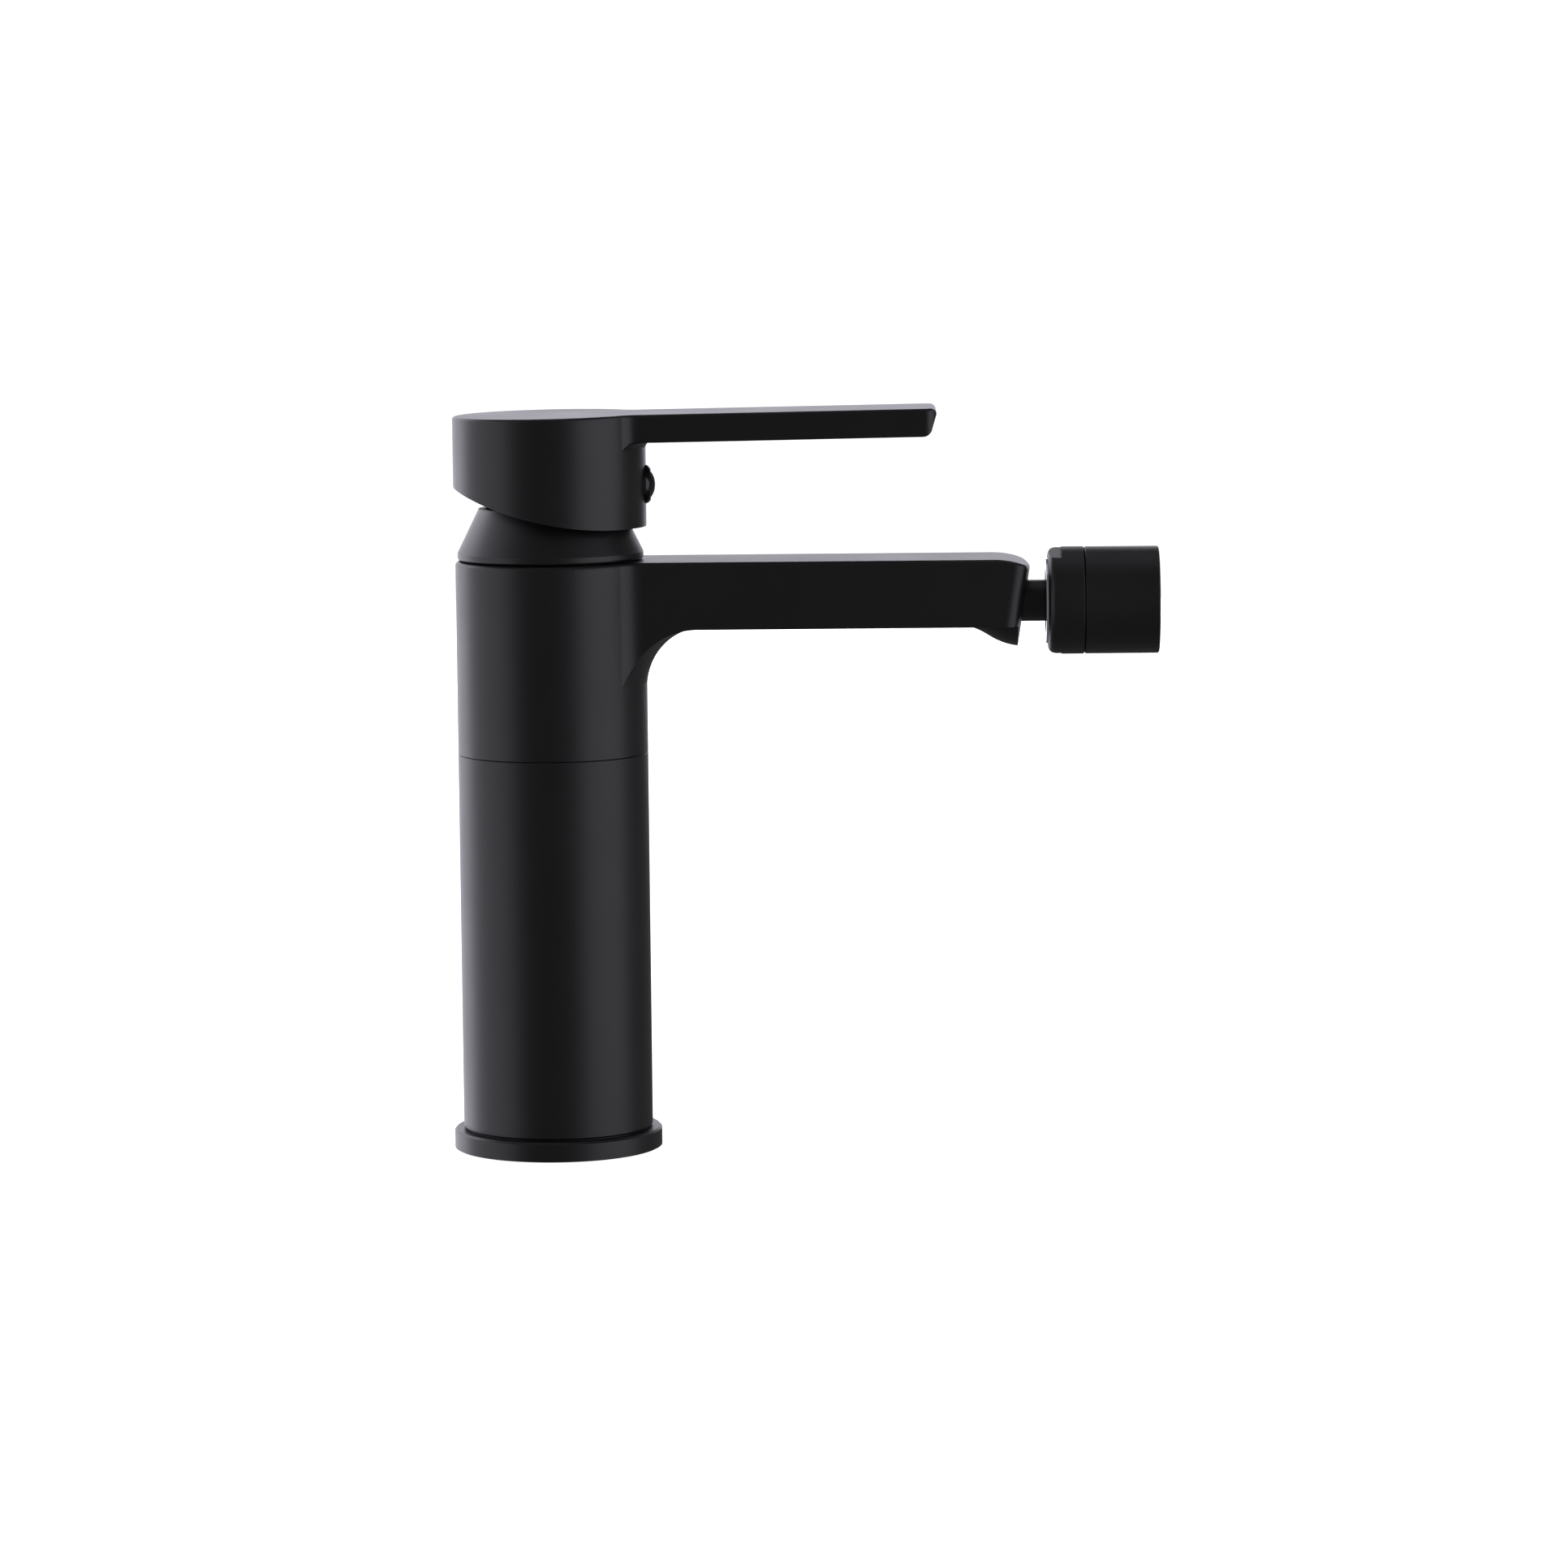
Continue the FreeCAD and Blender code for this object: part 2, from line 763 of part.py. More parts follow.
def make_body(groove, groove_foot, groove_height):
    """The body with its spout, hollowed, its top rim rounded."""
    skirt_radius = sleeve_bore - fit_gap
    skirt = ring("skirt", skirt_radius - size("skirt_wall"), skirt_radius,
                 size("skirt_length"), z=skirt_foot)
    outside = fuse("body_outside", [spout_solid(), skirt])
    hollow = cut("body_hollow", outside, spout_hollows(groove, groove_foot, groove_height))
    top = body_top.value
    mouth = (size("nut_radius") + fit_gap * 5).value

    crown_start = (size("spout_reach") - size("nose_crown_length")).value
    crown_drop = size("nose_crown_radius").value / 4

    def top_rim(edge):
        point = middle(edge)
        lowest = top
        if point.x > crown_start:
            lowest = top - crown_drop
        high = edge.BoundBox.ZMin > lowest - LEVEL_TOLERANCE
        return high and math.hypot(point.x, point.y) > mouth

    keep(rounded("SpoutBody", hollow, [(size("body_edge"), top_rim)]), "spout_body")


# ---------------------------------------------------------------- cartridge
def port_places():
    """The three ports: two inlets ahead of the axis, one outlet behind it."""
    inlet_x = size("inlet_port_x")
    inlet_y = size("inlet_port_y")
    return [(inlet_x, -inlet_y), (inlet_x, inlet_y), (-size("outlet_port_x"), sized(0))]


def make_cartridge():
    """Base plate, seals, ceramic discs and the carrier of the moving disc."""
    radius = size("cartridge_radius")
    port_radius = size("port_radius")
    seal_width = size("seal_width")
    seal_height = size("seal_height")
    seal_outer = port_radius + seal_width
    # base plate with a seal round each port, above and below
    plate = cylinder("plate_disc", radius, size("base_plate"), z=floor_z)
    pins = []
    for side in (-1, 1):
        pins.append(cylinder("plate_pin", size("locating_pin_radius"),
                             size("locating_pin_length") + seal_height, x=0,
                             y=side * size("locating_pin_y"),
                             z=floor_z - size("locating_pin_length")))
    solid = fuse("plate_solid", [plate] + pins)
    tools = []
    lower_seals = []
    upper_seals = []
    upper_foot = plate_top - seal_height
    for index, (x, y) in enumerate(port_places()):
        tools.append(cylinder(f"plate_port{index}", port_radius, size("base_plate"),
                              x=x, y=y, z=floor_z))
        tools.append(cylinder(f"lower_pocket{index}", seal_outer, seal_height,
                              x=x, y=y, z=floor_z))
        tools.append(cylinder(f"upper_pocket{index}", seal_outer, seal_height,
                              x=x, y=y, z=upper_foot))
        lower_seals.append(ring(f"lower_seal{index}", port_radius, seal_outer, seal_height,
                                x=x, y=y, z=floor_z))
        upper_seals.append(ring(f"upper_seal{index}", port_radius, seal_outer, seal_height,
                                x=x, y=y, z=upper_foot))
    keep(cut("CartridgeBase", solid, tools), "cartridge_base")
    keep(group("PortSeals", lower_seals), "port_seals")
    keep(group("DiscSeals", upper_seals), "disc_seals")
    # ceramic discs
    fixed = cylinder("fixed_blank", size("fixed_disc_radius"),
                     size("fixed_disc_thickness"), z=plate_top)
    holes = []
    for index, (x, y) in enumerate(port_places()):
        holes.append(cylinder(f"disc_port{index}", port_radius,
                              size("fixed_disc_thickness"), x=x, y=y, z=plate_top))
    keep(cut("FixedDisc", fixed, holes), "fixed_disc")
    offset = size("moving_disc_offset")
    disc_radius = size("moving_disc_radius")
    moving = cylinder("moving_blank", disc_radius, size("moving_disc_thickness"),
                      x=-offset, z=fixed_top)
    pocket = box("mixing_pocket", size("mixing_pocket_length"), size("mixing_pocket_width"),
                 size("mixing_pocket_depth"),
                 x=-size("outlet_port_x") - port_radius + size("seal_width"), z=fixed_top)
    keep(cut("MovingDisc", moving, [pocket]), "moving_disc")
    # carrier, with a socket for the ball at the stem's foot
    carrier = cylinder("carrier_blank", disc_radius, size("carrier_height"),
                       x=-offset, z=moving_top)
    socket = cylinder("carrier_socket", size("stem_ball_radius") + slide_gap,
                      size("carrier_height"), z=moving_top + size("carrier_recess"))
    keep(cut("DiscCarrier", carrier, [socket]), "disc_carrier")


def make_rotor():
    """The turning rotor, its cross pin and the lever stem; returns the stem's top."""
    rotor_radius = size("rotor_radius")
    pin_radius = size("pivot_pin_radius")
    stem_width = size("stem_width")
    blank = fuse("rotor_blank", [
        cylinder("rotor_neck", rotor_radius, size("rotor_height"), z=rotor_foot),
        cylinder("rotor_flange", size("rotor_flange_radius"),
                 size("rotor_flange_height"), z=rotor_foot),
    ])
    back = size("rotor_slot_back")
    front = size("rotor_slot_front")
    slot = box("rotor_slot", back + front, stem_width + slide_gap * 2,
               size("rotor_height"), x=-back, z=rotor_foot)
    pin_hole = cylinder("rotor_pin_hole", pin_radius, rotor_radius * 2,
                        y=-rotor_radius, z=pivot_z, along="Y")
    keep(cut("CartridgeRotor", blank, [slot, pin_hole]), "cartridge_rotor")
    pin_length = rotor_radius * 2 - slide_gap * 8
    keep(cylinder("PivotPin", pin_radius, pin_length, y=-pin_length / 2,
                  z=pivot_z, along="Y"), "pivot_pin")
    # lever stem: a square shank on a ball, crossed by the pin
    shank_foot = ball_z
    shank_top = pivot_z + size("stem_reach")
    ball = document.addObject("Part::Sphere", "stem_ball")
    bind(ball, "Radius", size("stem_ball_radius"))
    put(ball, z=ball_z)
    waist = cylinder("stem_waist", size("stem_waist_radius"), size("stem_arm") / 2,
                     z=shank_foot)
    shank_start = ball_z + size("stem_arm") / 2
    shank = box("stem_shank", stem_width, stem_width, shank_top - shank_start,
                x=-stem_width / 2, z=shank_start)
    stem = fuse("stem_solid", [ball, waist, shank])
    eye = cylinder("stem_eye", pin_radius + fit_gap / 2, stem_width * 2,
                   y=-stem_width, z=pivot_z, along="Y")
    keep(cut("CartridgeStem", stem, [eye]), "cartridge_stem")
    return shank_top


def make_housing():
    """The cartridge's outer shell with its neck."""
    radius = size("cartridge_radius")
    neck = size("housing_neck_radius")
    bore = radius - size("housing_wall")
    neck_bore = size("rotor_radius") + fit_gap
    neck_top = shoulder_z + size("housing_neck_height")
    keep(turned("CartridgeHousing", [
        (bore, plate_top),
        (radius, plate_top),
        (radius, shoulder_z),
        (neck, shoulder_z),
        (neck, neck_top),
        (neck_bore, neck_top),
        (neck_bore, housing_ceiling),
        (bore, housing_ceiling),
    ]), "cartridge_housing")


def make_nut_and_bonnet():
    """The clamping nut, slotted for a key, and the cone that screws over its hub."""
    bore = size("housing_neck_radius") + size("nut_wall_gap")
    nut_radius = size("nut_radius")
    hub = size("nut_hub_radius")
    nut_top = body_top - fit_gap * 2
    hub_top = nut_top + size("nut_hub_height")
    blank = turned("nut_blank", [
        (bore, shoulder_z),
        (nut_radius, shoulder_z),
        (nut_radius, nut_top),
        (hub, nut_top),
        (hub, hub_top),
        (bore, hub_top),
    ])
    slot_width = size("nut_slot_width")
    slot_depth = size("nut_slot_depth")
    slot_floor = hub_top - slot_depth
    span = hub * 3
    slots = [
        box("nut_slot_along", span, slot_width, slot_depth, x=-span / 2, z=slot_floor),
        box("nut_slot_across", slot_width, span, slot_depth, x=-slot_width / 2,
            z=slot_floor),
    ]
    keep(cut("CartridgeNut", blank, slots), "cartridge_nut")
    bonnet_radius = size("bonnet_radius")
    foot_radius = size("bonnet_foot_radius")
    band = size("bonnet_band")
    rim = size("bonnet_rim_radius")
    thread = hub + fit_gap
    step = bonnet_radius - foot_radius
    keep(turned("BonnetCone", [
        (thread, bonnet_foot),
        (foot_radius, bonnet_foot, step, 1),
        (bonnet_radius, bonnet_foot + step),
        (bonnet_radius, bonnet_foot + band),
        (rim, bonnet_top),
        (rim - size("bonnet_rim_wall"), bonnet_top),
        (thread, hub_top + slide_gap),
    ]), "bonnet_cone")


# ---------------------------------------------------------------- handle
def make_handle(shank_top):
    """The cap with its lever, and the grub screw that holds it to the stem."""
    radius = size("cap_radius")
    half_width = size("lever_half_width")
    fillet = size("lever_root_fillet")
    reach = size("lever_reach")
    rise = size("lever_rise")
    cap_top = body_top + size("cap_top")
    thickness = size("lever_thickness")
    under = cap_top - thickness + rise * (radius + fillet)
    corner = size("lever_tip_corner")
    ends = [
        (reach - corner, -half_width, corner, 1),
        (reach, -half_width + corner),
        (reach, half_width - corner, corner, 1),
        (reach - corner, half_width),
    ]
    plan = arm_plan(radius, size("lever_side_fillet"), half_width, ends)
    bar = slab("lever_bar", plan, under, thickness * 2)
    web_slab = slab("lever_web_slab", plan, under - fillet, fillet)
    web = common("lever_web", [web_slab, flare("lever_flare", radius, fillet, under)])
    # cap below the lever, its foot swept up towards the back
    foot = body_top + size("cap_front_foot")
    skirt_low = foot - fillet
    blank = cylinder("cap_blank", radius, under + thickness * 2 - skirt_low, z=skirt_low)
    sweep_radius = size("cap_foot_radius")
    sweep_x = size("cap_foot_x")
    past_back = radius + fillet
    swept_up = foot + sweep_radius - leg(sweep_radius, sweep_x + past_back)
    swept_foot = profile("cap_foot_sweep", [
        (-past_back, skirt_low - fillet),
        (past_back, skirt_low - fillet),
        (past_back, foot),
        (sweep_x, foot, sweep_radius, -1),
        (-past_back, swept_up),
    ], radius * 4)
    # top and underside follow the lever's slight rise, and the tip leans back
    tip_x = reach
    tip_top = cap_top + rise * tip_x
    tip_low = tip_top - thickness
    back = size("lever_tip_back")
    nose = corner / 2
    low_round = size("lever_tip_low_corner")
    far_x = reach + radius
    over_tip = profile("tip_trim", [
        (radius + fillet, under),
        (tip_x - back - low_round, tip_low, low_round, 1),
        (tip_x - back, tip_low + size("lever_tip_low_rise")),
        (tip_x, tip_top - nose, nose, 1),
        (tip_x - nose, tip_top - rise * nose),
        (tip_x - nose, tip_top + thickness * 3),
        (far_x, tip_top + thickness * 3),
        (far_x, under - thickness),
        (radius + fillet, under - thickness),
    ], half_width * 4)
    above = profile("top_trim", [
        (-radius * 2, cap_top - rise * radius * 2),
        (far_x, cap_top + rise * far_x),
        (far_x, cap_top + thickness * 4),
        (-radius * 2, cap_top + thickness * 4),
    ], half_width * 4)
    ceiling = body_top + size("cap_ceiling")
    cavity = cylinder("cap_cavity", radius - size("cap_wall"), ceiling - skirt_low,
                      z=skirt_low)
    boss_foot = body_top + size("boss_socket_foot")
    boss = cylinder("handle_boss", size("boss_socket_radius"), ceiling - boss_foot + fillet,
                    z=boss_foot)
    stem_width = size("stem_width")
    socket_width = stem_width + fit_gap * 2
    index_z = body_top + size("index_height")
    socket = box("stem_socket", socket_width, socket_width,
                 shank_top - boss_foot + size("socket_roof"), x=-socket_width / 2,
                 z=boss_foot)
    grub = cylinder("grub_thread", size("grub_radius"), radius - fillet,
                    x=0, z=index_z, along="X")
    key_hole = cylinder("index_hole", size("index_stem_radius") + fit_gap / 2,
                        size("cap_wall") * 3, x=radius - size("cap_wall") * 2,
                        z=index_z, along="X")
    seat = cylinder("index_seat", size("index_radius") + fit_gap, radius,
                    x=index_seat_x(), z=index_z, along="X")
    top = cap_top.value
    side_y = half_width.value

    def top_outline(edge):
        point = middle(edge)
        return abs(point.z - (top + rise.value * point.x)) < LEVEL_TOLERANCE

    def lower_outline(edge):
        point = middle(edge)
        level = abs(point.z - under.value) < LEVEL_TOLERANCE
        beside = abs(abs(point.y) - side_y) < LEVEL_TOLERANCE
        return level and beside and edge.Length > side_y

    keep(carved("LeverHandle", blank, [
        ("add", bar),
        ("add", web),
        ("cut", above),
        ("round", (size("handle_edge"), top_outline)),
        ("round", (size("handle_edge"), lower_outline)),
        ("cut", over_tip),
        ("cut", swept_foot),
        ("cut", cavity),
        ("add", boss),
        ("cut", socket),
        ("cut", grub),
        ("cut", key_hole),
        ("cut", seat),
    ]), "lever_handle")
    grub_x = stem_width / 2 + fit_gap
    screw = cylinder("grub_blank", size("grub_radius") - fit_gap / 2, size("grub_length"),
                     x=grub_x, z=index_z, along="X")
    hexagon = document.addObject("Part::Prism", "grub_hex")
    hexagon.Polygon = 6
    bind(hexagon, "Circumradius", size("grub_key_radius"))
    bind(hexagon, "Height", size("grub_length") / 2)
    put(hexagon, grub_x + size("grub_length") / 2, 0, index_z, ALONG["X"])
    keep(cut("HandleGrubScrew", screw, [hexagon]), "handle_grub_screw")


def index_seat_x():
    """The flat that the index button's rim sits on, just inside the round cap."""
    return leg(size("cap_radius"), size("index_radius") + size("fit_gap")) - fit_gap * 2


def make_index():
    """The index button: a rim with a shank, two colour marks and a clear dome."""
    index_z = body_top + size("index_height")
    seat_x = index_seat_x()
    rim_radius = size("index_radius")
    stem_radius = size("index_stem_radius")
    tip_x = size("cap_radius") + size("index_projection")
    window = rim_radius - size("index_rim")
    depth = tip_x - seat_x
    rim_height = size("index_rim_height")
    marks_floor = size("index_mark_floor")
    marks_top = size("index_mark_top")
    keep(turned("IndexRing", [
        (0, -size("cap_wall") / 2),
        (stem_radius, -size("cap_wall") / 2),
        (stem_radius, 0),
        (rim_radius, 0),
        (rim_radius, size("index_rim_edge"), size("index_rim_round"), 1),
        (window + fit_gap * 2, rim_height),
        (window, rim_height),
        (window, marks_floor),
        (0, marks_floor),
    ], x=seat_x, z=index_z, along="X"), "index_ring")
    lens_radius = window - fit_gap / 2
    lens_edge = marks_top + size("index_lens_edge")
    bulge = depth - lens_edge
    dome_radius = (lens_radius * lens_radius + bulge * bulge) / (bulge * 2)
    keep(turned("IndexLens", [
        (0, marks_top),
        (lens_radius, marks_top),
        (lens_radius, lens_edge, dome_radius, 1),
        (0, depth),
    ], x=seat_x, z=index_z, along="X"), "index_lens")
    for label, side in (("index_hot", -1), ("index_cold", 1)):
        disc = cylinder(f"{label}_disc", lens_radius, marks_top - marks_floor,
                        x=seat_x + marks_floor, z=index_z, along="X")
        half = box(f"{label}_half", depth, window, window * 2, x=seat_x,
                   y=side * window / 2, z=index_z - window)
        keep(common(f"{label}_piece", [disc, half]), label)


# ---------------------------------------------------------------- swivel outlet
# where the ball's shells begin and end, in degrees from the back of the ball
RING_BACK = 62
RING_FRONT = 86
COLLAR_LIP = 55
# how far the collar's spanner flats are turned about the outlet's axis at rest
COLLAR_TURN = 9.5


def spherical(radius, degrees):
    """A point on a sphere about the ball's centre, its angle counted from the back."""
    turn = math.radians(degrees)
    return radius * math.sin(turn), -radius * math.cos(turn)


def make_swivel():
    """The ball stem, the two shells on the ball, the collar and its trim ring."""
    gap = size("ball_gap")
    ball = size("ball_radius")
    neck = size("neck_radius")
    bore = size("stem_bore_radius")
    thread = size("stem_thread_radius")
    seat = size("neck_seat")
    nose = size("ball_nose")
    shell_inner = ball + gap
    shell_outer = shell_inner + size("shell_wall")
    pocket = shell_outer + gap
    keep(turned("BallStem", [
        (bore, -size("stem_thread_end")),
        (thread, -size("stem_thread_end")),
        (thread, -seat),
        (neck, -seat),
        (neck, -leg(ball, neck), ball, 1),
        (ball, 0, ball, 1),
        (leg(ball, nose), nose),
        (bore, nose),
    ], x=ball_x, z=neck_z, along="X"), "ball_stem")
    back_inner = spherical(shell_inner, RING_BACK)
    back_outer = spherical(shell_outer, RING_BACK)
    front_inner = spherical(shell_inner, RING_FRONT)
    front_outer = spherical(shell_outer, RING_FRONT)
    keep(turned("RearBallRing", [
        back_outer + (shell_outer, 1),
        front_outer,
        front_inner + (shell_inner, -1),
        back_inner,
    ], x=ball_x, z=neck_z, along="X"), "rear_ball_ring")
    seat_back = size("barrel_back")
    seat_front = size("seat_front")
    seat_bore = size("seat_bore_radius")
    keep(turned("FrontBallSeat", [
        (pocket - gap, seat_back),
        (pocket - gap, seat_front),
        (seat_bore, seat_front),
        (seat_bore, leg(shell_inner, seat_bore), shell_inner, -1),
        (leg(shell_inner, seat_back), seat_back),
    ], x=ball_x, z=neck_z, along="X"), "front_ball_seat")
    # collar: pocket for the ball behind, thread for the barrel in front
    collar = size("collar_radius")
    back = size("collar_back")
    front = size("collar_front")
    round_ = size("collar_round")
    recess = size("collar_recess")
    recess_radius = size("collar_recess_radius")
    mouth = size("collar_mouth_radius")
    collar_thread = size("collar_thread_radius")
    spigot_back = size("spigot_back")
    lip = spherical(pocket, COLLAR_LIP)
    thread_back = spigot_back + fit_gap
    edge = size("barrel_edge") / 2
    blank = turned("collar_blank", [
        (mouth, -back + recess),
        (recess_radius, -back + recess),
        (recess_radius, -back),
        (collar - round_, -back, round_, 1),
        (collar, -back + round_),
        (collar, front - edge),
        (collar - edge, front),
        (collar_thread, front),
        (collar_thread, -thread_back),
        (leg(pocket, thread_back), -thread_back, pocket, -1),
        lip,
    ], x=ball_x, z=neck_z, along="X")
    flat_z = collar - size("flat_depth")
    flats = []
    for label, low in (("lower", -flat_z - collar), ("upper", flat_z)):
        flats.append(box(f"collar_{label}_flat", size("flat_length") + edge, collar * 2,
                         collar, x=ball_x - back - edge, z=neck_z + low))
    flatted = cut("SwivelCollar", blank, flats)
    turn = math.radians(COLLAR_TURN)
    put(flatted, y=neck_z * math.sin(turn), z=neck_z * (1 - math.cos(turn)),
        turn=Rotation(Vector(1, 0, 0), COLLAR_TURN))
    keep(flatted, "swivel_collar")
    keep(turned("CollarTrimRing", [
        (size("trim_ring_bore"), -back + recess),
        (size("trim_ring_bore"), -back + recess - size("trim_ring_height")),
        (recess_radius - fit_gap, -back + recess - size("trim_ring_height")),
        (recess_radius - fit_gap, -back + recess),
    ], x=ball_x, z=neck_z, along="X"), "collar_trim_ring")
    return pocket


def make_outlet(pocket):
    """The barrel that screws into the collar, with the aerator stack inside it."""
    barrel = size("barrel_radius")
    spigot_back = size("spigot_back")
    spigot = size("collar_thread_radius") - fit_gap
    spigot_bore = pocket + fit_gap
    seat_front = size("seat_front")
    floor_back = seat_front + size("seat_ring_depth")
    floor_front = floor_back + size("barrel_floor")
    aerator = size("aerator_radius")
    front = size("barrel_front")
    back = size("barrel_back")
    edge = size("barrel_edge")
    seat_bore = size("seat_bore_radius")
    keep(turned("OutletBarrel", [
        (spigot_bore, -spigot_back),
        (spigot, -spigot_back),
        (spigot, back),
        (barrel - edge, back),
        (barrel, back + edge),
        (barrel, front - edge),
        (barrel - edge, front),
        (aerator + edge, front),
        (aerator, front - edge),
        (aerator, floor_front),
        (seat_bore, floor_front),
        (seat_bore, floor_back),
        (spigot_bore, floor_back),
    ], x=ball_x, z=neck_z, along="X"), "outlet_barrel")
    seal_inner = seat_bore + fit_gap * 5
    keep(turned("SeatSeal", [
        (seal_inner, seat_front + fit_gap),
        (pocket - fit_gap / 2, seat_front + fit_gap),
        (pocket - fit_gap / 2, floor_back),
        (seal_inner, floor_back),
    ], x=ball_x, z=neck_z, along="X"), "seat_seal")
    # aerator stack
    outer = aerator - fit_gap
    washer_front = floor_front + size("washer_height")
    keep(turned("AeratorWasher", [
        (outer - size("washer_width"), floor_front),
        (outer, floor_front),
        (outer, washer_front),
        (outer - size("washer_width"), washer_front),
    ], x=ball_x, z=neck_z, along="X"), "aerator_washer")
    inner = outer - size("aerator_wall")
    cup_front = front - size("aerator_recess")
    grid_back = cup_front - size("grid_height")
    keep(turned("AeratorHousing", [
        (inner, washer_front),
        (outer, washer_front),
        (outer, cup_front),
        (inner, cup_front),
    ], x=ball_x, z=neck_z, along="X"), "aerator_housing")
    insert = inner - fit_gap / 2
    regulator = cylinder("regulator_disc", insert, size("regulator_height"),
                         x=ball_x + washer_front, z=neck_z, along="X")
    keep(cut("FlowRegulator", regulator, regulator_holes(washer_front)), "flow_regulator")
    screens = []
    for index in range(2):
        place = grid_back - size("screen_spacing") * (index + 1)
        screens.append(cylinder(f"screen{index}", insert, size("screen_height"),
                                x=ball_x + place, z=neck_z, along="X"))
    keep(group("AeratorScreens", screens), "aerator_screens")
    grid = cylinder("grid_disc", insert, size("grid_height"),
                    x=ball_x + grid_back, z=neck_z, along="X")
    keep(cut("AeratorGrid", grid, grid_holes(grid_back, insert)), "aerator_grid")


def regulator_holes(station):
    """Six jets on a circle."""
    holes = []
    for index in range(6):
        turn = math.radians(60 * index)
        pitch = size("jet_circle_radius")
        holes.append(cylinder(f"jet{index}", size("grid_hole_radius"),
                              size("regulator_height"), x=ball_x + station,
                              y=pitch * math.cos(turn), z=neck_z + pitch * math.sin(turn),
                              along="X"))
    return holes


def grid_holes(station, insert):
    """A honeycomb of round holes inside the grid's rim."""
    pitch = size("grid_pitch")
    reach = (insert - size("grid_hole_radius") - size("grid_rim")).value
    holes = []
    for row in range(-4, 5):
        for column in range(-5, 6):
            y = pitch * (column + 0.5 * (row % 2))
            z = pitch * (row * math.sqrt(3) / 2)
            if math.hypot(y.value, z.value) < reach:
                holes.append(cylinder(f"cell{len(holes)}", size("grid_hole_radius"),
                                      size("grid_height"), x=ball_x + station, y=y,
                                      z=neck_z + z, along="X"))
    return holes


# ---------------------------------------------------------------- build, check, write
make_foot()
make_body(*make_sleeve())
make_cartridge()
stem_top = make_rotor()
make_housing()
make_nut_and_bonnet()
make_handle(stem_top)
make_index()
make_outlet(make_swivel())
document.recompute()

for item in document.Objects:
    if "Invalid" in item.State or "Error" in item.State:
        raise RuntimeError(f"{item.Name} did not compute: {item.State}")
for item in nodes:
    if item.Shape.isNull() or not item.Shape.isValid() or not item.Shape.Solids:
        raise RuntimeError(f"{item.Label} has no valid solid")

os.makedirs("parts", exist_ok=True)
for item in nodes:
    item.Shape.exportStep(f"parts/{item.Label}.step")
    print(f"{item.Label}: {len(item.Shape.Solids)} solid(s), {item.Shape.Volume / 1000:.2f} cm3")
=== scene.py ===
"""Looks of a satin black single-lever mixer: finishes, fine pieces, light and camera."""

import json
import logging
import math
from dataclasses import dataclass
from enum import Enum
from typing import Callable, ClassVar, Iterable

import bmesh
import bpy
from mathutils import Matrix, Vector


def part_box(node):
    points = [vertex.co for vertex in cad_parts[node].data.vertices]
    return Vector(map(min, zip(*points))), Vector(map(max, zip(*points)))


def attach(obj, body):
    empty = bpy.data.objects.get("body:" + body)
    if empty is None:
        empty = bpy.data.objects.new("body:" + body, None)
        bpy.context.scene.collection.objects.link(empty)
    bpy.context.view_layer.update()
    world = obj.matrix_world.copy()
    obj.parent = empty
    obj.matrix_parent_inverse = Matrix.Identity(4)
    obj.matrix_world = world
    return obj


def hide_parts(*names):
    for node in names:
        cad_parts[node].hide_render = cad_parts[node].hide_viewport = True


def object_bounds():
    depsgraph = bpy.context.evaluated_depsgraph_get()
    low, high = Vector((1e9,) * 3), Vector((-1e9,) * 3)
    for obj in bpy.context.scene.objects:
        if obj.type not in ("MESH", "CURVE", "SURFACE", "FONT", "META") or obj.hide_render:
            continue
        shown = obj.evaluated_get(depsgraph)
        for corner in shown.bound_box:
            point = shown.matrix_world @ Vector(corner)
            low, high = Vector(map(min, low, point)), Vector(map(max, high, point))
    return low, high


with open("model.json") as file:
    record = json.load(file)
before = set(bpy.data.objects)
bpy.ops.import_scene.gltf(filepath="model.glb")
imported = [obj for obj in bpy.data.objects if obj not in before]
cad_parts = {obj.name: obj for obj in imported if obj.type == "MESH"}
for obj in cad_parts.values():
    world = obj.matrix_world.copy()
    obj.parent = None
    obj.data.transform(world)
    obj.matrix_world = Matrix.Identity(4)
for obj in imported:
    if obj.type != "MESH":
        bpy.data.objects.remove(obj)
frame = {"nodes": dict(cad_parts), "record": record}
cad_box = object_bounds()

LOG = logging.getLogger("mixer")
Colour = tuple[float, float, float]

MIX_FIRST, MIX_SECOND, MIX_RESULT = 6, 7, 2    # a Mix node's sockets for colours
ROUND_STEPS = 96                               # faces round a turned piece


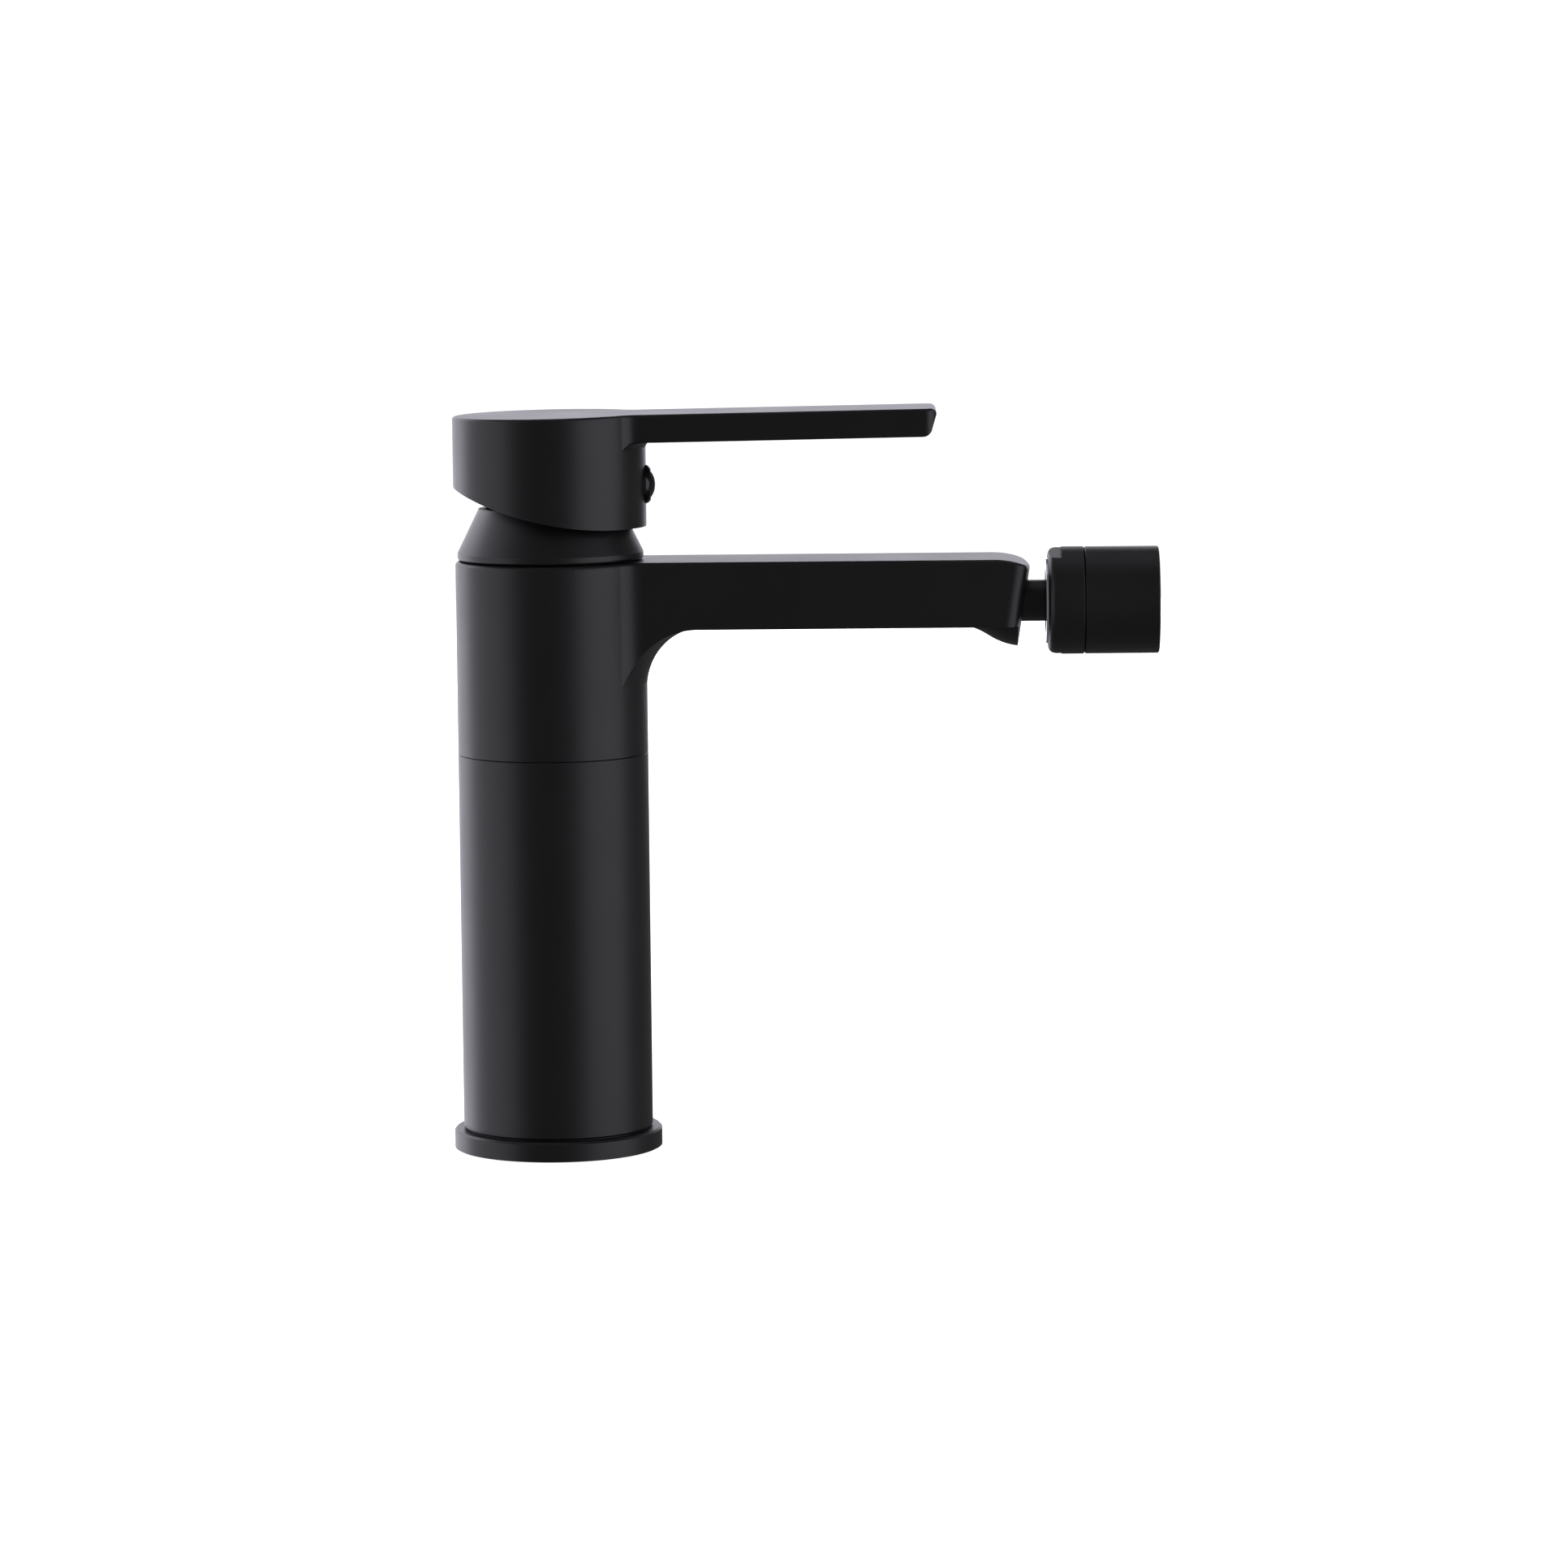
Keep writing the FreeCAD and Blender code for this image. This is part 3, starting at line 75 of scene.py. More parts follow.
# ---------------------------------------------------------------- shader boards
class Board:
    """A node tree with short ways to add and join nodes."""

    def __init__(self, tree: bpy.types.NodeTree) -> None:
        """Take over a tree and empty it.

        Args:
            tree: the material's, world's or group's node tree.
        """
        self.tree = tree
        tree.nodes.clear()

    def add(self, kind: str, settings: dict[str, object] | None = None,
            **inputs: object) -> bpy.types.Node:
        """Add a node.

        Args:
            kind: the node's type name without its ShaderNode prefix.
            settings: properties of the node itself.
            inputs: socket values, with underscores for spaces in their names.

        Returns:
            The new node.
        """
        node = self.tree.nodes.new(f"ShaderNode{kind}")
        for name, value in (settings or {}).items():
            setattr(node, name, value)
        for name, value in inputs.items():
            self.feed(node.inputs[name.replace("_", " ")], value)
        return node

    def feed(self, socket: bpy.types.NodeSocket, value: object) -> None:
        """Link a socket to another, or set its value.

        Args:
            socket: the input socket.
            value: a socket to link from, or a number, vector or colour.
        """
        if isinstance(value, bpy.types.NodeSocket):
            self.tree.links.new(value, socket)
        else:
            socket.default_value = value

    def math(self, operation: str, *values: object) -> bpy.types.NodeSocket:
        """Add a Math node.

        Args:
            operation: the node's operation.
            values: numbers or sockets, in the order of its inputs.

        Returns:
            Its output.
        """
        node = self.tree.nodes.new("ShaderNodeMath")
        node.operation = operation
        for socket, value in zip(node.inputs, values):
            self.feed(socket, value)
        return node.outputs[0]

    def spread(self, value: bpy.types.NodeSocket, low: float, high: float,
               to_low: float = 0.0, to_high: float = 1.0) -> bpy.types.NodeSocket:
        """Stretch a range of a value over another range, clamped.

        Args:
            value: the socket to read.
            low: where the range starts.
            high: where the range ends.
            to_low: the result at low.
            to_high: the result at high.

        Returns:
            The stretched value.
        """
        node = self.add("MapRange", Value=value, From_Min=low, From_Max=high,
                        To_Min=to_low, To_Max=to_high)
        return node.outputs["Result"]

    def blend(self, share: bpy.types.NodeSocket, first: object,
              second: object) -> bpy.types.NodeSocket:
        """Mix two colours.

        Args:
            share: how much of the second colour.
            first: a colour or a socket.
            second: a colour or a socket.

        Returns:
            The mixed colour.
        """
        node = self.tree.nodes.new("ShaderNodeMix")
        node.data_type = "RGBA"
        self.tree.links.new(share, node.inputs["Factor"])
        for index, value in ((MIX_FIRST, first), (MIX_SECOND, second)):
            plain = isinstance(value, tuple)
            self.feed(node.inputs[index], (*value, 1.0) if plain else value)
        return node.outputs[MIX_RESULT]

    def relief(self, shader: bpy.types.Node, height: bpy.types.NodeSocket,
               depth: float) -> None:
        """Raise a shader's surface by a height.

        Args:
            shader: the Principled node.
            height: the socket that gives the height.
            depth: metres between its lowest and highest.
        """
        bump = self.add("Bump", Strength=1.0, Distance=depth, Height=height)
        self.join(bump.outputs["Normal"], shader.inputs["Normal"])

    def join(self, source: bpy.types.NodeSocket, target: bpy.types.NodeSocket) -> None:
        """Link two sockets."""
        self.tree.links.new(source, target)


def principled(name: str) -> tuple[bpy.types.Material, Board, bpy.types.Node]:
    """Make a material that holds a Principled shader.

    Args:
        name: the material's name.

    Returns:
        The material, its board and the shader.
    """
    material = bpy.data.materials.new(name)
    material.use_nodes = True
    board = Board(material.node_tree)
    shader = board.add("BsdfPrincipled")
    output = board.add("OutputMaterial")
    board.join(shader.outputs["BSDF"], output.inputs["Surface"])
    return material, board, shader


class Effect(Enum):
    """Surface effects shared by the finishes."""

    COAT_GRAIN = "Coat Grain"
    TOOL_LINES = "Tool Lines"
    EDGE_RUB = "Edge Rub"
    SETTLED_DUST = "Settled Dust"


class Axis(Enum):
    """The axis that tool marks run round."""

    COLUMN = (1.0, 1.0, 26.0)
    SPOUT = (26.0, 1.0, 1.0)
    EVEN = (1.0, 1.0, 1.0)


class Effects:
    """The effect groups, each built once."""

    CLOUD_RANGE = (0.3, 0.7)         # the part of a soft noise that is used
    FINE_RANGE = (0.35, 0.65)        # the part of a fine noise that is used
    GRAIN_IN_TONE = 0.35             # share of the grain in the tone
    GRAIN_IN_POLISH = 0.2            # share of the grain in the polish
    FLAT_TO_SHARP = (0.995, 0.8)     # likeness of the rounded and the true normal
    PATCH_RANGE = (0.4, 0.62)        # where the worn patches begin and are full
    LEVEL_RANGE = (0.5, 0.95)        # how far up a face looks
    DUST_ON_WALLS = 0.12             # share of the dust on faces that don't look up
    SPECK_RANGE = (0.1, 0.06)        # the speck's edge and full size, in cells

    def __init__(self) -> None:
        """Build every group."""
        builders: dict[Effect, Callable[[Board, dict], dict]] = {
            Effect.COAT_GRAIN: self._coat_grain,
            Effect.TOOL_LINES: self._tool_lines,
            Effect.EDGE_RUB: self._edge_rub,
            Effect.SETTLED_DUST: self._settled_dust,
        }
        sockets = {
            Effect.COAT_GRAIN: (("Grain Scale", "Mottle Scale"), ("Height", "Tone", "Polish")),
            Effect.TOOL_LINES: (("Line Scale", "Stretch"), ("Height", "Streak")),
            Effect.EDGE_RUB: (("Reach", "Patch Scale"), ("Mask",)),
            Effect.SETTLED_DUST: (("Speck Scale", "Cover"), ("Mask",)),
        }
        self.trees: dict[Effect, bpy.types.NodeTree] = {}
        for effect, build in builders.items():
            tree = bpy.data.node_groups.new(effect.value, "ShaderNodeTree")
            for name in sockets[effect][0]:
                kind = "NodeSocketVector" if name == "Stretch" else "NodeSocketFloat"
                tree.interface.new_socket(name, in_out="INPUT", socket_type=kind)
            for name in sockets[effect][1]:
                tree.interface.new_socket(name, in_out="OUTPUT", socket_type="NodeSocketFloat")
            board = Board(tree)
            entry = tree.nodes.new("NodeGroupInput")
            leave = tree.nodes.new("NodeGroupOutput")
            results = build(board, {socket.name: socket for socket in entry.outputs})
            for name, socket in results.items():
                board.join(socket, leave.inputs[name])
            self.trees[effect] = tree

    @staticmethod
    def _coat_grain(board: Board, entry: dict) -> dict:
        """Fine orange-peel of a sprayed coat, with a soft mottle in tone and polish.

        Args:
            board: the group's board.
            entry: the group's inputs by name.

        Returns:
            The sockets that feed the group's outputs, by name.
        """
        place = board.add("TexCoord").outputs["Object"]
        fine = board.add("TexNoise", Vector=place, Scale=entry["Grain Scale"], Detail=3.0,
                         Roughness=0.6).outputs["Fac"]
        mottle = board.add("TexNoise", Vector=place, Scale=entry["Mottle Scale"], Detail=4.0,
                           Roughness=0.55).outputs["Fac"]
        cloudy = board.spread(mottle, *Effects.CLOUD_RANGE)
        crisp = board.spread(fine, *Effects.FINE_RANGE)
        results = {"Height": fine}
        for name, share in (("Tone", Effects.GRAIN_IN_TONE), ("Polish", Effects.GRAIN_IN_POLISH)):
            rest = board.math("MULTIPLY", cloudy, 1.0 - share)
            results[name] = board.math("MULTIPLY_ADD", crisp, share, rest)
        return results

    @staticmethod
    def _tool_lines(board: Board, entry: dict) -> dict:
        """Fine lines left by a lathe or a grinding belt.

        Args:
            board: the group's board.
            entry: the group's inputs by name.

        Returns:
            The sockets that feed the group's outputs, by name.
        """
        place = board.add("TexCoord").outputs["Object"]
        drawn = board.add("VectorMath", {"operation": "MULTIPLY"})
        board.join(place, drawn.inputs[0])
        board.join(entry["Stretch"], drawn.inputs[1])
        lines = board.add("TexNoise", Vector=drawn.outputs[0], Scale=entry["Line Scale"],
                          Detail=5.0, Roughness=0.7).outputs["Fac"]
        return {"Height": lines, "Streak": board.spread(lines, *Effects.FINE_RANGE)}

    @staticmethod
    def _edge_rub(board: Board, entry: dict) -> dict:
        """Sharp edges, broken up, where a coat is thinner and catches the light.

        Args:
            board: the group's board.
            entry: the group's inputs by name.

        Returns:
            The sockets that feed the group's outputs, by name.
        """
        soft = board.add("Bevel", {"samples": 4}, Radius=entry["Reach"])
        true = board.add("NewGeometry")
        turn = board.add("VectorMath", {"operation": "DOT_PRODUCT"})
        board.join(soft.outputs["Normal"], turn.inputs[0])
        board.join(true.outputs["Normal"], turn.inputs[1])
        edge = board.spread(turn.outputs["Value"], *Effects.FLAT_TO_SHARP)
        place = board.add("TexCoord").outputs["Object"]
        patches = board.add("TexNoise", Vector=place, Scale=entry["Patch Scale"],
                            Detail=4.0).outputs["Fac"]
        worn = board.spread(patches, *Effects.PATCH_RANGE)
        return {"Mask": board.math("MULTIPLY", edge, worn)}

    @staticmethod
    def _settled_dust(board: Board, entry: dict) -> dict:
        """Tiny pale specks on faces that look up.

        Args:
            board: the group's board.
            entry: the group's inputs by name.

        Returns:
            The sockets that feed the group's outputs, by name.
        """
        coordinates = board.add("TexCoord")
        facing = board.add("SeparateXYZ", Vector=coordinates.outputs["Normal"]).outputs["Z"]
        level = board.spread(facing, *Effects.LEVEL_RANGE, Effects.DUST_ON_WALLS, 1.0)
        cells = board.add("TexVoronoi", {"feature": "F1"}, Vector=coordinates.outputs["Object"],
                          Scale=entry["Speck Scale"])
        speck = board.spread(cells.outputs["Distance"], *Effects.SPECK_RANGE)
        lottery = board.add("TexWhiteNoise", Vector=cells.outputs["Position"]).outputs["Value"]
        chosen = board.math("LESS_THAN", lottery, entry["Cover"])
        return {"Mask": board.math("MULTIPLY", board.math("MULTIPLY", speck, chosen), level)}

    def place(self, board: Board, effect: Effect, **inputs: object) -> bpy.types.Node:
        """Put an effect into a material.

        Args:
            board: the material's board.
            effect: which effect.
            inputs: values of its inputs, with underscores for spaces.

        Returns:
            The group node.
        """
        node = board.tree.nodes.new("ShaderNodeGroup")
        node.node_tree = self.trees[effect]
        for name, value in inputs.items():
            node.inputs[name.replace("_", " ")].default_value = value
        return node


# ---------------------------------------------------------------- finishes
@dataclass(frozen=True)
class Finish:
    """What every finish has.

    Args:
        name: the material's name.
        slot: the record's material slot.
        colour: the main colour.
        roughness: the middle of its roughness.
    """

    name: str
    slot: str
    colour: Colour
    roughness: float

    def material(self, effects: Effects) -> bpy.types.Material:
        """Make the material.

        Args:
            effects: the shared effect groups.

        Returns:
            The material, with its shader in it.
        """
        material, board, shader = principled(self.name)
        shader.inputs["Base Color"].default_value = (*self.colour, 1.0)
        shader.inputs["Roughness"].default_value = self.roughness
        self.detail(board, shader, effects)
        return material

    def detail(self, board: Board, shader: bpy.types.Node, effects: Effects) -> None:
        """Add the finish's own detail.

        Args:
            board: the material's board.
            shader: its Principled node.
            effects: the shared effect groups.
        """
        raise NotImplementedError

    def shade(self, amount: float) -> Colour:
        """The main colour made lighter or darker by a factor."""
        return tuple(min(channel * amount, 1.0) for channel in self.colour)


@dataclass(frozen=True)
class SatinCoat(Finish):
    """A baked black coat with a soft sheen, fine grain, thin edges and a little dust.

    Args:
        grain_scale: how fine the grain is.
        grain_depth: metres of its relief.
        mottle_scale: how close together the soft clouds are.
        tone_swing: how far the clouds darken and lighten the coat.
        polish_swing: how far they change its roughness.
        edge_reach: metres that a thin edge spreads.
        edge_colour: the coat where it is thin.
        edge_share: how much of that colour the thinnest edge has.
        dust_cover: share of the cells that hold a speck.
        dust_colour: the specks.
        dust_dulling: roughness that a speck adds.
    """

    grain_scale: float = 2600.0
    grain_depth: float = 0.000008
    mottle_scale: float = 42.0
    tone_swing: float = 0.18
    polish_swing: float = 0.025
    edge_reach: float = 0.00035
    edge_colour: Colour = (0.03, 0.03, 0.033)
    edge_share: float = 0.6
    dust_cover: float = 0.02
    dust_colour: Colour = (0.2, 0.19, 0.18)
    dust_dulling: float = 0.4

    def detail(self, board: Board, shader: bpy.types.Node, effects: Effects) -> None:
        """Tone, polish and grain from the coat, with lighter edges and dust over them.

        Args:
            board: the material's board.
            shader: its Principled node.
            effects: the shared effect groups.
        """
        grain = effects.place(board, Effect.COAT_GRAIN, Grain_Scale=self.grain_scale,
                              Mottle_Scale=self.mottle_scale)
        rub = effects.place(board, Effect.EDGE_RUB, Reach=self.edge_reach, Patch_Scale=260.0)
        dust = effects.place(board, Effect.SETTLED_DUST, Speck_Scale=620.0,
                             Cover=self.dust_cover)
        ground = board.blend(grain.outputs["Tone"], self.shade(1.0 - self.tone_swing),
                             self.shade(1.0 + self.tone_swing))
        thin = board.math("MULTIPLY", rub.outputs["Mask"], self.edge_share)
        rubbed = board.blend(thin, ground, self.edge_colour)
        dusty = board.blend(dust.outputs["Mask"], rubbed, self.dust_colour)
        board.join(dusty, shader.inputs["Base Color"])
        polish = board.spread(grain.outputs["Polish"], 0.0, 1.0,
                              self.roughness - self.polish_swing,
                              self.roughness + self.polish_swing)
        rough = board.math("MULTIPLY_ADD", dust.outputs["Mask"], self.dust_dulling, polish)
        board.join(rough, shader.inputs["Roughness"])
        board.relief(shader, grain.outputs["Height"], self.grain_depth)


@dataclass(frozen=True)
class BareMetal(Finish):
    """Machined, ground or plated metal with lines from its making.

    Args:
        axis: the axis that the lines run round.
        line_scale: how fine the lines are.
        line_depth: metres of their relief.
        dark_streak: the main colour's factor in a dark streak.
        bright_streak: its factor in a bright streak.
        bright_edge: its factor on a rubbed edge.
        edge_reach: metres that a rubbed edge spreads.
    """

    axis: Axis = Axis.EVEN
    line_scale: float = 900.0
    line_depth: float = 0.000006
    dark_streak: float = 0.86
    bright_streak: float = 1.08
    bright_edge: float = 1.3
    edge_reach: float = 0.0003

    def detail(self, board: Board, shader: bpy.types.Node, effects: Effects) -> None:
        """Streaks in tone and roughness, and lines in the surface.

        Args:
            board: the material's board.
            shader: its Principled node.
            effects: the shared effect groups.
        """
        shader.inputs["Metallic"].default_value = 1.0
        lines = effects.place(board, Effect.TOOL_LINES, Line_Scale=self.line_scale,
                              Stretch=self.axis.value)
        rub = effects.place(board, Effect.EDGE_RUB, Reach=self.edge_reach, Patch_Scale=300.0)
        streaked = board.blend(lines.outputs["Streak"], self.shade(self.dark_streak),
                               self.shade(self.bright_streak))
        bright = board.blend(board.math("MULTIPLY", rub.outputs["Mask"], 0.5), streaked,
                             self.shade(self.bright_edge))
        board.join(bright, shader.inputs["Base Color"])
        rough = board.spread(lines.outputs["Streak"], 0.0, 1.0, self.roughness * 0.8,
                             self.roughness * 1.25)
        board.join(rough, shader.inputs["Roughness"])
        board.relief(shader, lines.outputs["Height"], self.line_depth)


@dataclass(frozen=True)
class Moulding(Finish):
    """Moulded plastic or rubber with a fine spark-eroded texture.

    Args:
        grain_scale: how fine the texture is.
        grain_depth: metres of its relief.
        sheen: the soft glow of rubber at a glancing angle.
        dark_cloud: the main colour's factor in a dark cloud.
        pale_cloud: its factor in a pale cloud.
        pale_edge: its factor on a rubbed edge.
        polish_swing: how far the clouds change its roughness.
    """

    grain_scale: float = 1500.0
    grain_depth: float = 0.00002
    sheen: float = 0.0
    dark_cloud: float = 0.9
    pale_cloud: float = 1.08
    pale_edge: float = 1.5
    polish_swing: float = 0.05

    def detail(self, board: Board, shader: bpy.types.Node, effects: Effects) -> None:
        """A soft mottle, paler rubbed edges and a moulded grain.

        Args:
            board: the material's board.
            shader: its Principled node.
            effects: the shared effect groups.
        """
        shader.inputs["Sheen Weight"].default_value = self.sheen
        grain = effects.place(board, Effect.COAT_GRAIN, Grain_Scale=self.grain_scale,
                              Mottle_Scale=120.0)
        rub = effects.place(board, Effect.EDGE_RUB, Reach=0.0003, Patch_Scale=220.0)
        ground = board.blend(grain.outputs["Tone"], self.shade(self.dark_cloud),
                             self.shade(self.pale_cloud))
        rubbed = board.blend(board.math("MULTIPLY", rub.outputs["Mask"], 0.35), ground,
                             self.shade(self.pale_edge))
        board.join(rubbed, shader.inputs["Base Color"])
        rough = board.spread(grain.outputs["Polish"], 0.0, 1.0,
                             self.roughness - self.polish_swing,
                             self.roughness + self.polish_swing)
        board.join(rough, shader.inputs["Roughness"])
        board.relief(shader, grain.outputs["Height"], self.grain_depth)


@dataclass(frozen=True)
class LappedCeramic(Finish):
    """Alumina lapped flat: almost white, with a faint cloud and a clean gloss."""

    def detail(self, board: Board, shader: bpy.types.Node, effects: Effects) -> None:
        """Faint clouds, and lapping marks seen only as a change of polish.

        Args:
            board: the material's board.
            shader: its Principled node.
            effects: the shared effect groups.
        """
        grain = effects.place(board, Effect.COAT_GRAIN, Grain_Scale=3200.0, Mottle_Scale=90.0)
        cloud = board.blend(grain.outputs["Tone"], self.shade(0.94), self.shade(1.04))
        board.join(cloud, shader.inputs["Base Color"])
        rough = board.spread(grain.outputs["Polish"], 0.0, 1.0, self.roughness * 0.7,
                             self.roughness * 1.3)
        board.join(rough, shader.inputs["Roughness"])


@dataclass(frozen=True)
class ClearDome(Finish):
    """A clear acrylic dome over the colour marks."""

    def detail(self, board: Board, shader: bpy.types.Node, effects: Effects) -> None:
        """Clear body with a trace of handling haze in its polish.

        Args:
            board: the material's board.
            shader: its Principled node.
            effects: the shared effect groups.
        """
        shader.inputs["Transmission Weight"].default_value = 1.0
        shader.inputs["IOR"].default_value = 1.49
        grain = effects.place(board, Effect.COAT_GRAIN, Grain_Scale=1800.0, Mottle_Scale=240.0)
        rough = board.spread(grain.outputs["Polish"], 0.0, 1.0, self.roughness,
                             self.roughness + 0.03)
        board.join(rough, shader.inputs["Roughness"])


BLACK: Colour = (0.0078, 0.0076, 0.0082)
FINISHES: tuple[Finish, ...] = (
    SatinCoat("satin black coat", "satin_black", BLACK, 0.4),
    SatinCoat("satin black sleeve", "sleeve_black", BLACK, 0.41),
    SatinCoat("satin black lever", "handle_black", BLACK, 0.38, dust_cover=0.012),
    SatinCoat("satin black outlet", "outlet_black", (0.0078, 0.0078, 0.0084), 0.42,
              dust_cover=0.008),
    BareMetal("machined brass", "raw_brass", (0.72, 0.53, 0.24), 0.3, axis=Axis.COLUMN),
    BareMetal("bright chrome", "bright_chrome", (0.8, 0.8, 0.82), 0.08, axis=Axis.SPOUT,
              line_depth=0.000002),
    BareMetal("ground stainless", "stainless", (0.6, 0.6, 0.62), 0.28, axis=Axis.COLUMN),
    Moulding("black seal rubber", "black_rubber", (0.02, 0.02, 0.021), 0.62, sheen=0.15),
    LappedCeramic("lapped ceramic", "white_ceramic", (0.85, 0.84, 0.8), 0.16),
    Moulding("acetal housing", "housing_plastic", (0.5, 0.51, 0.53), 0.42),
    Moulding("glass-filled polyamide", "rotor_plastic", (0.05, 0.055, 0.06), 0.5),
    Moulding("turned PTFE", "ptfe", (0.86, 0.86, 0.84), 0.34, grain_scale=900.0),
    Moulding("aerator acetal", "aerator_plastic", (0.62, 0.64, 0.65), 0.38),
    Moulding("gloss black rim", "index_black", (0.012, 0.012, 0.013), 0.14,
             grain_depth=0.000003),
    Moulding("gloss red mark", "index_red", (0.55, 0.02, 0.015), 0.2, grain_depth=0.000003),
    Moulding("gloss blue mark", "index_blue", (0.02, 0.07, 0.5), 0.2, grain_depth=0.000003),
    ClearDome("clear acrylic", "clear_lens", (1.0, 1.0, 1.0), 0.02),
)


class Paintbox:
    """The materials by record slot, made once."""

    def __init__(self, effects: Effects) -> None:
        """Make every finish's material.

        Args:
            effects: the shared effect groups.
        """
        self.by_slot = {finish.slot: finish.material(effects) for finish in FINISHES}
        self.node_slots = {part["node"]: part["material_slot"]
                           for part in frame["record"]["subparts"]}

    def coat(self, piece: bpy.types.Object, slot: str) -> None:
        """Give a piece one finish.

        Args:
            piece: a mesh object.
            slot: the record's material slot.
        """
        piece.data.materials.clear()
        piece.data.materials.append(self.by_slot[slot])

    def coat_node(self, node: str) -> None:
        """Give a carried-over node the finish that the record names."""
        self.coat(frame["nodes"][node], self.node_slots[node])


# ---------------------------------------------------------------- mesh helpers
def lathe(name: str, section: Iterable[tuple[float, float]],
          place: Matrix) -> bpy.types.Object:
    """Turn a section about an axis.

    Args:
        name: the new object's name.
        section: (radius, station) points from one end of the axis to the other.
        place: carries the lathe's +Z axis into the model.

    Returns:
        The object, smooth, with closed ends where the section meets the axis.
    """
    mesh = bmesh.new()
    rings: list[list[bmesh.types.BMVert]] = []
    for radius, station in section:
        if radius == 0.0:
            rings.append([mesh.verts.new((0.0, 0.0, station))])
            continue
        turn = [2.0 * math.pi * step / ROUND_STEPS for step in range(ROUND_STEPS)]
        rings.append([mesh.verts.new((radius * math.cos(a), radius * math.sin(a), station))
                      for a in turn])
    for low, high in zip(rings, rings[1:]):
        for step in range(ROUND_STEPS):
            after = (step + 1) % ROUND_STEPS
            corners = [low[step % len(low)], low[after % len(low)],
                       high[after % len(high)], high[step % len(high)]]
            mesh.faces.new(list(dict.fromkeys(corners)))
    bmesh.ops.recalc_face_normals(mesh, faces=mesh.faces)
    bmesh.ops.transform(mesh, matrix=place, verts=mesh.verts)
    return as_object(name, mesh)


def as_object(name: str, mesh: bmesh.types.BMesh, smooth: bool = True) -> bpy.types.Object:
    """Write a bmesh out as a scene object.

    Args:
        name: the new object's name.
        mesh: the bmesh, freed here.
        smooth: whether its faces are shaded smooth.

    Returns:
        The linked object.
    """
    data = bpy.data.meshes.new(name)
    for face in mesh.faces:
        face.smooth = smooth
    mesh.to_mesh(data)
    mesh.free()
    piece = bpy.data.objects.new(name, data)
    bpy.context.scene.collection.objects.link(piece)
    return piece


def ribbon(mesh: bmesh.types.BMesh, line: list[Vector], frames: list[tuple[Vector, Vector]],
           outline: list[tuple[float, float]]) -> None:
    """Sweep a small closed outline along a line.

    Args:
        mesh: the bmesh to add to.
        line: the points of the line.
        frames: at each point, the outline's two directions.
        outline: the outline's corners in those directions.
    """
    rings = []
    for point, (across, up) in zip(line, frames):
        rings.append([mesh.verts.new(point + across * a + up * b) for a, b in outline])
    count = len(outline)
    for low, high in zip(rings, rings[1:]):
        for side in range(count):
            after = (side + 1) % count
            mesh.faces.new((low[side], low[after], high[after], high[side]))
    mesh.faces.new(list(reversed(rings[0])))
    mesh.faces.new(rings[-1])


AXIS_X = Matrix.Rotation(math.radians(90.0), 4, "Y")


# ---------------------------------------------------------------- sub-assemblies
@dataclass
class SubAssembly:
    """Pieces that are made and dressed together.

    Args:
        paints: the materials.
    """

    paints: Paintbox
    title: ClassVar[str] = ""
    nodes: ClassVar[tuple[str, ...]] = ()

    def build(self) -> list[bpy.types.Object]:
        """Make the pieces that the frame doesn't hold; none by default.

        Returns:
            The pieces made.
        """
        return []

    def assemble(self) -> None:
        """Dress the carried-over nodes, make the rest and report each piece."""
        for node in self.nodes:
            self.paints.coat_node(node)
            LOG.info("%s: %s in %s", self.title, node, self.paints.node_slots[node])
        for piece in self.build():
            LOG.info("%s: %s made, %d faces", self.title, piece.name,
                     len(piece.data.polygons))

    def finish_piece(self, piece: bpy.types.Object, body: str, slot: str) -> bpy.types.Object:
        """Coat a new piece and let it ride.

        Args:
            piece: the new object.
            body: the body that it moves with.
            slot: the record's material slot.

        Returns:
            The same object.
        """
        self.paints.coat(piece, slot)
        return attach(piece, body)


@dataclass
class Foot(SubAssembly):
    """The ring that stands on the deck, and its gasket."""

    title: ClassVar[str] = "foot"
    nodes: ClassVar[tuple[str, ...]] = ("base_ring", "base_gasket")


@dataclass
class Column(SubAssembly):
    """The lower sleeve and the seal that it sits on."""

    title: ClassVar[str] = "column"
    nodes: ClassVar[tuple[str, ...]] = ("column_sleeve", "skirt_seal")


